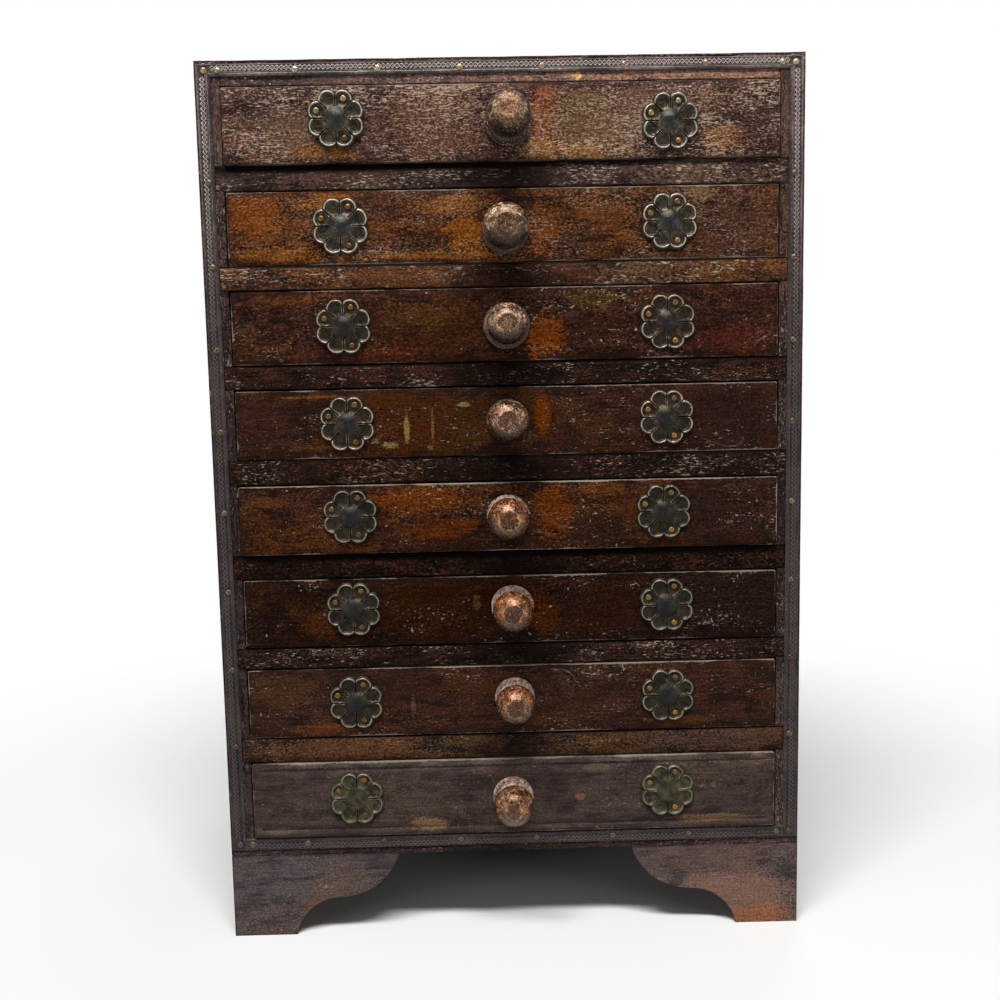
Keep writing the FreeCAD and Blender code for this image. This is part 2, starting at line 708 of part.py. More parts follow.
def build():
    """Every sub-part of the cabinet, in its place."""
    tacks = strip_tacks()
    nodes = carcass_boards(tacks) + feet() + [edge_strips(tacks), tacks]
    knob = knob_master()
    rosette = rosette_master()
    pin = nail("pin", "Sizes.pin_head", "Sizes.pin_head_height", "Sizes.pin_shank", "Sizes.pin_length")
    for number in DRAWERS:
        nodes += drawer(number, knob, rosette, pin)
    doc.recompute()
    return nodes


def check(nodes):
    """Stop if an object failed or a sub-part is not a sound solid."""
    for item in doc.Objects:
        if "Invalid" in item.State or "Error" in item.State:
            raise RuntimeError(f"{item.Name} failed: {item.State}")
    for node in nodes:
        if node.Shape.isNull() or not node.Shape.isValid() or not node.Shape.Solids:
            raise RuntimeError(f"{node.Label} has no sound solid")


cabinet = build()
check(cabinet)
os.makedirs("parts", exist_ok=True)
for node in cabinet:
    node.Shape.exportStep(f"parts/{node.Label}.step")
    box = node.Shape.BoundBox
    print(node.Label, len(node.Shape.Solids), [round(v, 2) for v in (box.XMin, box.YMin, box.ZMin, box.XMax,
                                                                    box.YMax, box.ZMax)])
print(len(cabinet), "sub-parts")
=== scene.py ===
# %% [markdown]
# # A spice drawer cabinet, dressed
#
# The frame is the cabinet's construction: boards, drawers, knobs, rosettes and strips, each at its
# real size and on the body that it moves with. This script gives every one of them its surface.
# Boards are rubbed round at their edges, knobs are turned again with the small differences that a
# foot lathe leaves, rosettes and strips get their pressed relief, and each gets its own finish.

# %% Load the frame
import json
import math
import random

import bpy
from mathutils import Matrix, Vector


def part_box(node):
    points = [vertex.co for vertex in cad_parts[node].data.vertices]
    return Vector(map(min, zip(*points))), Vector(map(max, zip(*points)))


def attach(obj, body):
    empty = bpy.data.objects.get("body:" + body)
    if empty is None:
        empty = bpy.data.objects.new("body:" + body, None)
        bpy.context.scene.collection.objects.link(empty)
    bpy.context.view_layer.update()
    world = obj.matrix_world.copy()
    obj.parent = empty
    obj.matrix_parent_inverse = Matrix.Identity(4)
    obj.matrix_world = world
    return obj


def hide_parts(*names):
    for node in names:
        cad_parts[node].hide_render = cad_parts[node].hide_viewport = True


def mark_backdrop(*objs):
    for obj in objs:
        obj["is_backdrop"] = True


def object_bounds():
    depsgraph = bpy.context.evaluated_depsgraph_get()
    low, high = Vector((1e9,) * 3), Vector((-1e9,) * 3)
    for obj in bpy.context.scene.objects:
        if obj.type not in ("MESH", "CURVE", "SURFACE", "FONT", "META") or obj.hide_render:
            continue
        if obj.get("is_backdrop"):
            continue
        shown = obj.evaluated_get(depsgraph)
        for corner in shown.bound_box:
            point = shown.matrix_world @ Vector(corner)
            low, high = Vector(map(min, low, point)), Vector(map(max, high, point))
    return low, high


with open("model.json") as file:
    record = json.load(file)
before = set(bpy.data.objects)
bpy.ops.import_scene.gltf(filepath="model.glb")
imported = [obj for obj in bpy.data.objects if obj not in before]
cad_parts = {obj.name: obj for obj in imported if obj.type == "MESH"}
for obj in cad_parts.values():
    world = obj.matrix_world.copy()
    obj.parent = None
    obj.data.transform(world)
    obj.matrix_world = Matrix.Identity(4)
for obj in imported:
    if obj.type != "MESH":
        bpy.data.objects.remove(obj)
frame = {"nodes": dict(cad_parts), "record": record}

cad_low, cad_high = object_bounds()
MM = 0.001
DRAWERS = range(1, 9)

# %% [markdown]
# ## The camera
#
# The cabinet is seen from the front and a little above its middle, by a camera held by hand: it looks
# slightly down, and it is a degree out of level. A camera's own matrix is easiest to build from three
# turns, first round its line of sight, then down, then round the upright.

# %% Camera
CARCASS_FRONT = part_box("left_side")[0].y
CAMERA_PLACE = Vector((-15.9 * MM, CARCASS_FRONT - 688.3 * MM, 384.6 * MM))
CAMERA_YAW = math.radians(-0.795)
CAMERA_DOWN = math.radians(5.777)
CAMERA_ROLL = math.radians(-1.139)
CAMERA_LENS, CAMERA_FILM = 35.65, 36

bpy.ops.object.camera_add()
camera = bpy.context.object
camera.name = "camera"
turned = Matrix.Rotation(CAMERA_YAW, 4, "Z") @ Matrix.Rotation(math.pi / 2 - CAMERA_DOWN, 4, "X")
camera.matrix_world = Matrix.Translation(CAMERA_PLACE) @ turned @ Matrix.Rotation(CAMERA_ROLL, 4, "Z")
camera.data.lens = CAMERA_LENS
camera.data.sensor_width = CAMERA_FILM
bpy.context.scene.camera = camera
bpy.context.scene.view_settings.view_transform = "Standard"
print("camera at", [round(c, 3) for c in camera.matrix_world.translation])

# %% [markdown]
# ## A function that adds a node
#
# Every finish below is a small tree of shader nodes. One function adds a node, sets what is given, links
# what comes from other nodes, and gives back the socket that comes out, so that a tree reads from top to
# bottom like a recipe. Colours are written as they look on a screen and turned to linear light by one
# function.

# %% Helpers for finishes
def linear(hex_colour):
    """An sRGB colour such as "8a5a2b" as linear red, green, blue and a full alpha."""
    parts = [int(hex_colour[i:i + 2], 16) / 255 for i in (0, 2, 4)]
    return (*[p / 12.92 if p <= 0.04045 else ((p + 0.055) / 1.055) ** 2.4 for p in parts], 1.0)


def add(tree, kind, inputs=None, out=0, **settings):
    """Adds a node, links or sets its named or numbered inputs, and returns one of its outputs."""
    node = tree.nodes.new("ShaderNode" + kind)
    for name, value in settings.items():
        setattr(node, name, value)
    for name, value in (inputs or {}).items():
        if isinstance(value, bpy.types.NodeSocket):
            tree.links.new(value, node.inputs[name])
        else:
            node.inputs[name].default_value = value
    return node.outputs[out] if len(node.outputs) else None


def new_finish(name):
    """A material with an empty tree."""
    material = bpy.data.materials.new(name)
    material.use_nodes = True
    material.node_tree.nodes.clear()
    return material, material.node_tree


print("finish helpers ready, white is", linear("ffffff"))

# %% [markdown]
# ## Picking things up
#
# Every operator acts on what is selected, and the frame comes with all of its nodes selected. So a
# piece is always taken up alone first. Faces or vertices inside it are picked in code, by where they
# are, because nobody is there to click on them.

# %% Selecting
def deselect():
    """Nothing selected, so that the next operator acts only on what it is given."""
    if bpy.context.object and bpy.context.object.mode != "OBJECT":
        bpy.ops.object.mode_set(mode="OBJECT")
    bpy.ops.object.select_all(action="DESELECT")


def take_up(*pieces):
    """These pieces alone are selected, and the first is active."""
    deselect()
    for piece in pieces:
        piece.select_set(True)
    bpy.context.view_layer.objects.active = pieces[0]


def pick(piece, elements, wanted):
    """Edit mode, with only those faces or vertices of a piece selected that pass a test."""
    take_up(piece)
    bpy.ops.object.mode_set(mode="EDIT")
    bpy.ops.mesh.select_all(action="DESELECT")
    bpy.ops.object.mode_set(mode="OBJECT")
    for element in elements:
        element.select = wanted(element)
    bpy.ops.object.mode_set(mode="EDIT")


deselect()
print(len(bpy.context.selected_objects), "objects selected")

# %% [markdown]
# ## Floor, wall and light
#
# A studio for a dark cabinet is simple: a pale floor, a white wall bent round it, a dim plain room, and
# large soft lamps. The largest hangs in front and above, so that each drawer throws a narrow shadow on
# the rail below it and each knob has its highlight on the upper side. Two weaker ones stand far out
# to the sides. Nothing bright is near the camera, because dark polished wood would mirror it and look
# grey. The wall, and the floor farther off, are pure white to the eye and in metal, whatever light falls
# there. To every other ray they are dim, and so is the room, so that undersides stay dark.

# %% Stage
ROOM_LEVEL = 0.12
FLOOR_REACH = 14.0
WALL_AWAY, WALL_HEIGHT, WALL_SIDES = 9.0, 18.0, 72
OPEN_FRONT = -2.0  # the wall stops short of here, so that nothing pale faces the drawer fronts
PAPER, DIM_PAPER = "cfcfcd", "585755"  # how the pale paint looks to the eye, and to every other ray


def whitened(name, near, far):
    """A matt paint, pale to the eye and in metal, that turns to pure white between two distances."""
    paint, tree = new_finish(name)
    seen = 0.0
    for ray in ("Is Camera Ray", "Is Glossy Ray", "Is Transmission Ray"):
        seen = add(tree, "Math", {0: seen, 1: add(tree, "LightPath", out=ray)}, use_clamp=True)
    away = add(tree, "VectorMath", {0: add(tree, "TexCoord", out="Object")}, out="Value", operation="LENGTH")
    away = add(tree, "MapRange", {0: away, 1: near, 2: far}, interpolation_type="SMOOTHSTEP")
    share = add(tree, "Math", {0: seen, 1: away}, operation="MULTIPLY")
    pale = add(tree, "Mix", {0: seen, 6: linear(DIM_PAPER), 7: linear(PAPER)}, 2, data_type="RGBA")
    matt = add(tree, "BsdfDiffuse", {"Color": pale})
    white = add(tree, "Emission", {"Color": linear("ffffff"), "Strength": 1.0})
    add(tree, "OutputMaterial", {0: add(tree, "MixShader", {0: share, 1: matt, 2: white})})
    return paint


deselect()
bpy.ops.mesh.primitive_plane_add(size=2 * FLOOR_REACH)
floor = bpy.context.object
floor.name = "stage_floor"
floor.data.materials.append(whitened("matt_white_floor_paint", 0.2, 0.9))
bpy.ops.mesh.primitive_cylinder_add(vertices=WALL_SIDES, radius=WALL_AWAY, depth=WALL_HEIGHT,
                                    end_fill_type="NOTHING", location=(0, 0, 0))
wall = bpy.context.object
wall.name = "stage_wall"
pick(wall, wall.data.polygons, lambda side: side.center.y < OPEN_FRONT)
bpy.ops.mesh.delete(type="FACE")
bpy.ops.object.mode_set(mode="OBJECT")
wall.data.materials.append(whitened("white_backdrop_paper", -1.0, 0.0))
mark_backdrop(floor, wall)

room = bpy.data.worlds.new("plain_grey_room")
bpy.context.scene.world = room
room.use_nodes = True
room.node_tree.nodes.clear()
add(room.node_tree, "OutputWorld", {0: add(room.node_tree, "Background", {
    "Color": linear("ffffff"), "Strength": ROOM_LEVEL})})

print("floor and wall stand in a room of level", ROOM_LEVEL)

# %% Lamps
LAMPS = {
    "lamp_above_front": {"place": (-0.25, -1.9, 3.9), "size": (3.0, 0.5), "power": 282},
    "lamp_left": {"place": (-2.0, -1.5, 0.4), "size": (1.0, 0.8), "power": 15},
    "lamp_right": {"place": (2.0, -1.5, 0.4), "size": (1.0, 0.8), "power": 15},
    "lamp_behind": {"place": (0.9, 2.0, 1.7), "size": (1.4, 1.0), "power": 14},
}
middle = (cad_low + cad_high) / 2
for name, lamp in LAMPS.items():
    bpy.ops.object.light_add(type="AREA", location=lamp["place"])
    light = bpy.context.object
    light.name = name
    light.data.shape = "RECTANGLE"
    light.data.size, light.data.size_y = lamp["size"]
    light.data.energy = lamp["power"]
    light.rotation_euler = (middle - Vector(lamp["place"])).to_track_quat("-Z", "Y").to_euler()
print("stage and", len(LAMPS), "lamps set")

# %% [markdown]
# ## Rubbed boards
#
# An old cabinet has no sharp edge left: hands, dusters and a hundred years have rubbed every corner
# round, and never evenly. The boards' shapes are already right in the frame, with their grooves and
# housings, so each is copied, its loose triangles are merged into whole faces, cuts are made across it
# so that its edges can wander, a bevel rounds the corners, and a displacement wears them inwards.

# %% Copying a solid
FLAT = math.radians(0.5)
SAME_PLACE = 0.005 * MM


def twin(piece, name):
    """A copy of a piece with a mesh of its own, taken up."""
    copy = bpy.data.objects.new(name, piece.data.copy())
    bpy.context.scene.collection.objects.link(copy)
    take_up(copy)
    return copy


def copy_of(node, name):
    """A copy of a node, its loose triangles merged and paired into four-sided faces."""
    piece = twin(frame["nodes"][node], name)
    piece.data.materials.clear()
    bpy.ops.object.mode_set(mode="EDIT")
    bpy.ops.mesh.select_all(action="SELECT")
    bpy.ops.mesh.remove_doubles(threshold=SAME_PLACE)
    bpy.ops.mesh.tris_convert_to_quads(face_threshold=FLAT, shape_threshold=math.pi)
    bpy.ops.object.mode_set(mode="OBJECT")
    return piece


def parts_of(node):
    """The lowest and highest corners of each separate solid in a node, from left to right, then up."""
    take_up(copy_of(node, "spare"))
    bpy.ops.mesh.separate(type="LOOSE")
    boxes = []
    for piece in list(bpy.context.selected_objects):
        places = [v.co for v in piece.data.vertices]
        low = Vector(min(p[i] for p in places) for i in range(3))
        high = Vector(max(p[i] for p in places) for i in range(3))
        boxes.append((low, high))
        bpy.data.objects.remove(piece)
    return sorted(boxes, key=lambda box: (round(box[0].x / MM), round(box[0].z / MM)))


print("copying ready,", len(parts_of("drawer_rails")), "rails counted")

# %% Cutting and wearing
AXES = {"X": Vector((1, 0, 0)), "Y": Vector((0, 1, 0)), "Z": Vector((0, 0, 1))}


def cut_across(piece, axis, spacing):
    """Cuts through the whole piece at right angles to an axis, a spacing apart."""
    take_up(piece)
    places = [v.co.dot(AXES[axis]) for v in piece.data.vertices]
    count = int((max(places) - min(places)) / spacing)
    pitch = (max(places) - min(places)) / (count + 1)
    bpy.ops.object.mode_set(mode="EDIT")
    for i in range(1, count + 1):
        bpy.ops.mesh.select_all(action="SELECT")
        where = AXES[axis] * (min(places) + i * pitch)
        bpy.ops.mesh.bisect(plane_co=where, plane_no=AXES[axis])
    bpy.ops.object.mode_set(mode="OBJECT")


def lumps(name, size, detail):
    """A cloudy texture that wears a surface unevenly, with lumps of a given size."""
    texture = bpy.data.textures.new(name, "CLOUDS")
    texture.noise_scale, texture.noise_depth = size, detail
    return texture


def wear_down(piece, texture, depth):
    """Pushes the surface of the piece taken up inwards, by up to a depth."""
    worn = piece.modifiers.new("wear", "DISPLACE")
    worn.texture, worn.texture_coords = texture, "LOCAL"
    worn.strength, worn.mid_level = -depth, 0
    bpy.ops.object.modifier_apply(modifier=worn.name)


def keep_in_width(piece):
    """Brings back what stands out past the construction's left and right side."""
    for vertex in piece.data.vertices:
        vertex.co.x = min(max(vertex.co.x, cad_low.x), cad_high.x)


CORNER = math.radians(40)
board_dents = lumps("dents", 14 * MM, 2)


def rub(piece, rounding, wear):
    """Rounds every corner of a board by a bevel, then wears its surface."""
    take_up(piece)
    bevel = piece.modifiers.new("rounding", "BEVEL")
    bevel.width, bevel.segments, bevel.angle_limit = rounding, 2, CORNER
    bpy.ops.object.modifier_apply(modifier=bevel.name)
    wear_down(piece, board_dents, wear)
    keep_in_width(piece)
    bpy.ops.object.shade_smooth_by_angle(angle=CORNER)


print("wear comes in dents of", board_dents.noise_scale / MM, "mm")

# %% Handing a finished piece over
SLOTS = {row["node"]: row["material_slot"] for row in frame["record"]["subparts"]}


def hand_over(piece, body, slot, finish, *nodes):
    """The piece gets its finish, rides on its body and stands for its nodes."""
    piece.data.materials.clear()
    piece.data.materials.append(finish)
    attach(piece, body)
    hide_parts(*nodes)


print(len(SLOTS), "nodes in", len(set(SLOTS.values())), "slots")

# %% [markdown]
# ## Stained hardwood under old wax
#
# The boards are an open-pored hardwood, planed by hand, stained nearly black-brown and waxed for decades. To
# the eye that is four things over each other. The stain is uneven, so the ground colour drifts in long bands
# along the grain. Where hands reach, it is worn through to the warm orange-brown of the wood. The pores are
# short dashes along the grain that have filled with pale wax and dust. Last come specks, scratches, a pale
# line along each rubbed edge, which is partly a painted highlight, and dirt in the corners. On the rails,
# painted shadows come over all of it.
#
# All of it is drawn in the object's own coordinates, in millimetres, turned so that the grain always
# runs along the first axis. A noise that is squeezed across the grain and stretched along it is the
# simplest honest grain: there is no picture to wrap, and it runs through the board to every side.

# %% Scales of the wood's pattern
TO_MM = (1000, 1000, 1000)
TURN_TO_GRAIN = {"X": (0, 0, 0), "Y": (0, 0, math.pi / 2), "Z": (0, math.pi / 2, 0)}
WOOD_NOISES = {  # turns of the pattern per millimetre along the grain and across it, detail, distortion
    "band": ((0.012, 0.10), 4, 0.4),  # streaks of stain about 80 mm long and 10 mm wide
    "blotch": ((0.055, 0.10), 4, 0.8),  # blots of some 18 by 10 mm
    "cloud": ((0.013, 0.034), 5, 0.6),  # worn clouds of about 75 by 30 mm
    "crowd": ((0.022, 0.06), 4, 0.5),  # where pores, specks and scratches crowd
    "fibre": ((0.06, 0.65), 3, 0),  # fibres, coarser than life, so that they show
    "grit": ((0.60, 0.88), 3, 0),  # grains of wax and stain, a millimetre or two across
    "pore": ((0.25, 1.15), 1, 0.2),  # pores, longer than life, so that they show
    "speck": ((0.42, 0.50), 1, 0.3),  # specks of a millimetre
    "scratch": ((0.008, 0.011), 1, 0.8),  # scratches that wander for some 100 mm
}
SMOOTH = {"interpolation_type": "SMOOTHSTEP"}
COLOUR = {"data_type": "RGBA"}


def wood_patterns(tree, grain, seed):
    """The object's own coordinates in millimetres, and every noise of the wood along the grain."""
    in_mm = add(tree, "Mapping", {"Vector": add(tree, "TexCoord", out="Object"), "Scale": TO_MM})
    place = add(tree, "Mapping", {"Vector": in_mm, "Rotation": TURN_TO_GRAIN[grain]})
    shift = (seed * 3.7, seed * 5.1, seed * 2.3)
    seen = {}
    for kind, ((along, across), detail, distortion) in WOOD_NOISES.items():
        spot = add(tree, "Mapping", {"Vector": place, "Scale": (along, across, across), "Location": shift})
        seen[kind] = add(tree, "TexNoise", {"Vector": spot, "Scale": 1, "Detail": detail, "Roughness": 0.6,
                                            "Distortion": distortion})
        shift = (shift[1], shift[2], shift[0])
    return in_mm, seen


print(len(WOOD_NOISES), "noises in the wood")

# %% Stain, and wear through it
OLD_WOOD = {"dust": "b3a390", "worn": 0.5, "pores": 0.5, "specks": 0.5, "chalk": 0.6, "bloom_and_sheen": 0.12,
            "edge": 0.4, "rough": 0.5, "shine": 0.08, "contrast": 1.0, "plain": 0, "patches": (), "soot": ()}


def stained(tree, seen, look):
    """Stain, dark where it lies thick, worn through to warm wood in clouds and grain by grain."""
    plain, worn = look["plain"], look["worn"]
    blots = add(tree, "Math", {0: seen["blotch"], 1: 1 - 0.9 * plain}, operation="MULTIPLY")
    depth = add(tree, "Math", {0: seen["band"], 1: 0.5 + 0.9 * plain, 2: blots}, operation="MULTIPLY_ADD")
    depth = add(tree, "Math", {0: seen["fibre"], 1: 0.4, 2: depth}, operation="MULTIPLY_ADD")
    stain = add(tree, "MapRange", {0: depth, 1: 0.74, 2: 1.08}, **SMOOTH)
    colour = add(tree, "Mix", {0: stain, 6: linear(look["deep"]), 7: linear(look["ground"])}, 2, **COLOUR)
    thin = add(tree, "Math", {0: seen["blotch"], 1: 0.5, 2: seen["cloud"]}, operation="MULTIPLY_ADD")
    thin = add(tree, "Math", {0: seen["grit"], 1: 0.6, 2: thin}, operation="MULTIPLY_ADD")
    bare = add(tree, "MapRange", {0: thin, 1: 1.12 - 0.2 * worn, 2: 1.32 - 0.2 * worn, 4: 0.3 + 0.6 * worn},
               **SMOOTH)
    return add(tree, "Mix", {0: bare, 6: colour, 7: linear(look["warm"])}, 2, **COLOUR)


def placed(tree, in_mm, seen, under, patch, ragged):
    """A patch with a frayed edge, laid over a colour: where, half its width and height, hue, strength."""
    x, z, half_width, half_height, hue, strength = patch
    off = add(tree, "VectorMath", {0: in_mm, 1: (x, 0, z)}, operation="SUBTRACT")
    off = add(tree, "VectorMath", {0: off, 1: (1 / half_width, 0, 1 / half_height)}, operation="MULTIPLY")
    reach = add(tree, "VectorMath", {0: off}, "Value", operation="LENGTH")
    for kind, weight in (("blotch", 1.4), ("cloud", 1.0), ("grit", 1.5)):
        reach = add(tree, "Math", {0: seen[kind], 1: -weight * ragged, 2: reach}, operation="MULTIPLY_ADD")
    share = add(tree, "MapRange", {0: reach, 1: 1.2 - 1.95 * ragged, 2: 0.5 - 1.95 * ragged, 4: strength},
                **SMOOTH)
    return add(tree, "Mix", {0: share, 6: under, 7: linear(hue)}, 2, **COLOUR)


print("a look sets some of", ", ".join(OLD_WOOD))

# %% Grains and dust
def grained(tree, seen, colour, contrast):
    """The colour, lighter and darker from grain to grain."""
    tone = add(tree, "Math", {0: seen["fibre"], 1: 0.5, 2: seen["grit"]}, operation="MULTIPLY_ADD")
    tone = add(tree, "MapRange", {0: tone, 1: 0.52, 2: 1.08, 3: 1 - 0.65 * contrast, 4: 1 + 0.9 * contrast},
               **SMOOTH)
    tone = add(tree, "CombineColor", {0: tone, 1: tone, 2: tone})
    return add(tree, "Mix", {0: 1, 6: colour, 7: tone}, 2, blend_type="MULTIPLY", **COLOUR)


def gathered_dust(tree, seen, look):
    """How filled the pores are, and how dusty it is in pores, dents and scratches and over the grains."""
    pores, specks = look["pores"], look["specks"]
    filled = add(tree, "Math", {0: seen["crowd"], 1: 0.5, 2: seen["pore"]}, operation="MULTIPLY_ADD")
    filled = add(tree, "MapRange", {0: filled, 1: 1.04 - 0.22 * pores, 2: 1.11 - 0.22 * pores}, **SMOOTH)
    dent = add(tree, "Math", {0: seen["crowd"], 1: 0.5, 2: seen["speck"]}, operation="MULTIPLY_ADD")
    dent = add(tree, "MapRange", {0: dent, 1: 1.05 - 0.1 * specks, 2: 1.11 - 0.1 * specks}, **SMOOTH)
    line = add(tree, "Math", {0: seen["scratch"], 1: 0.5}, operation="SUBTRACT")
    line = add(tree, "Math", {0: line}, operation="ABSOLUTE")
    line = add(tree, "MapRange", {0: line, 1: 0.0018, 2: 0.0005, 4: 0.4}, **SMOOTH)
    often = add(tree, "MapRange", {0: seen["crowd"], 1: 0.55, 2: 0.62}, **SMOOTH)
    line = add(tree, "Math", {0: line, 1: often}, operation="MULTIPLY")
    # a pale veil over the grains: bloom of old wax, and on the top front partly a painted sheen
    bloom_and_sheen = add(tree, "Math", {0: seen["crowd"], 1: 0.4, 2: seen["grit"]}, operation="MULTIPLY_ADD")
    bloom_and_sheen = add(tree, "MapRange", {0: bloom_and_sheen, 1: 0.72, 2: 0.88, 4: look["bloom_and_sheen"]}, **SMOOTH)
    dusty = add(tree, "Math", {0: filled, 1: dent}, operation="MAXIMUM")
    for more in (bloom_and_sheen, line):
        dusty = add(tree, "Math", {0: more, 1: dusty}, operation="MAXIMUM")
    return filled, add(tree, "Math", {0: dusty, 1: look["chalk"]}, operation="MULTIPLY")


print("old wood's dust is", OLD_WOOD["dust"])

# %% The edges of a drawer front
def face_edges(tree, in_mm, seen, look, box):
    """Along a face's edges, the share of a rubbed pale line, partly a painted highlight, and of the dirt
    just inside it.
    """
    centre, half = (box[0] + box[1]) / 2 / MM, (box[1] - box[0]) / 2 / MM
    off = add(tree, "VectorMath", {0: in_mm, 1: centre}, operation="SUBTRACT")
    off = add(tree, "VectorMath", {0: off}, operation="ABSOLUTE")
    off = add(tree, "VectorMath", {0: half, 1: off}, operation="SUBTRACT")
    inwards = add(tree, "SeparateXYZ", {0: off}, "X")
    upwards = add(tree, "SeparateXYZ", {0: off}, "Z")
    rim = add(tree, "Math", {0: inwards, 1: upwards}, operation="MINIMUM")
    fray = add(tree, "Math", {0: seen["crowd"], 1: 5, 2: -2.3}, operation="MULTIPLY_ADD")
    fray = add(tree, "Math", {0: seen["grit"], 1: 2, 2: fray}, operation="MULTIPLY_ADD")
    fray = add(tree, "Math", {0: rim, 1: fray}, operation="SUBTRACT")
    # the pale line along the edges: rubbed wear, and partly a painted highlight on the rounded edge
    rubbed_edge_and_highlight = add(tree, "MapRange", {0: fray, 1: -0.4, 2: -1.2, 4: look["edge"]}, **SMOOTH)
    dirt_and_painted_shade = add(tree, "Math", {0: seen["blotch"], 1: 18, 2: rim}, operation="MULTIPLY_ADD")
    return rubbed_edge_and_highlight, add(tree, "MapRange", {0: dirt_and_painted_shade, 1: 14, 2: 8, 4: 0.8}, **SMOOTH)


print("edges ready")

# %% The wood finish
WAX = "ffcfb0"  # old wax has yellowed, so even the shine is warm
SMALL_PATCH = 8  # a patch narrower than this, in millimetres each way, frays less


def stained_wood(name, grain, look, seed, box=None):
    """Old stained and waxed hardwood. The look lists what differs from other old wood."""
    look = {**OLD_WOOD, **look}
    material, tree = new_finish(name)
    in_mm, seen = wood_patterns(tree, grain, seed)
    colour = stained(tree, seen, look)
    for patch in look["patches"]:
        colour = placed(tree, in_mm, seen, colour, patch, 0.4 if patch[2] < SMALL_PATCH else 1.0)
    colour = grained(tree, seen, colour, look["contrast"])
    filled, dusty = gathered_dust(tree, seen, look)
    if box:
        rubbed_edge_and_highlight, dirt_and_painted_shade = face_edges(tree, in_mm, seen, look, box)
        colour = add(tree, "Mix", {0: dirt_and_painted_shade, 6: colour, 7: linear(look["deep"])}, 2, **COLOUR)
        dusty = add(tree, "Math", {0: rubbed_edge_and_highlight, 1: dusty}, operation="MAXIMUM")
    colour = add(tree, "Mix", {0: dusty, 6: colour, 7: linear(look["dust"])}, 2, **COLOUR)
    # painted shadows, laid last, over the dust as well
    for patch in look["soot"]:
        colour = placed(tree, in_mm, seen, colour, patch, 0.35)
    gloss = add(tree, "Math", {0: seen["cloud"], 1: 0.3, 2: look["rough"] - 0.15}, operation="MULTIPLY_ADD")
    gloss = add(tree, "Math", {0: dusty, 1: 0.35, 2: gloss}, operation="MULTIPLY_ADD", use_clamp=True)
    height = add(tree, "Math", {0: filled, 1: -0.9, 2: seen["fibre"]}, operation="MULTIPLY_ADD")
    height = add(tree, "Math", {0: seen["blotch"], 1: 1.5, 2: height}, operation="MULTIPLY_ADD")
    relief = add(tree, "Bump", {"Strength": 0.6, "Distance": 0.25 * MM, "Height": height})
    add(tree, "OutputMaterial", {0: add(tree, "BsdfPrincipled", {
        "Base Color": colour, "Roughness": gloss, "Specular IOR Level": look["shine"],
        "Specular Tint": linear(WAX), "Normal": relief})})
    return material


print("wood finish ready, its wax is", WAX)
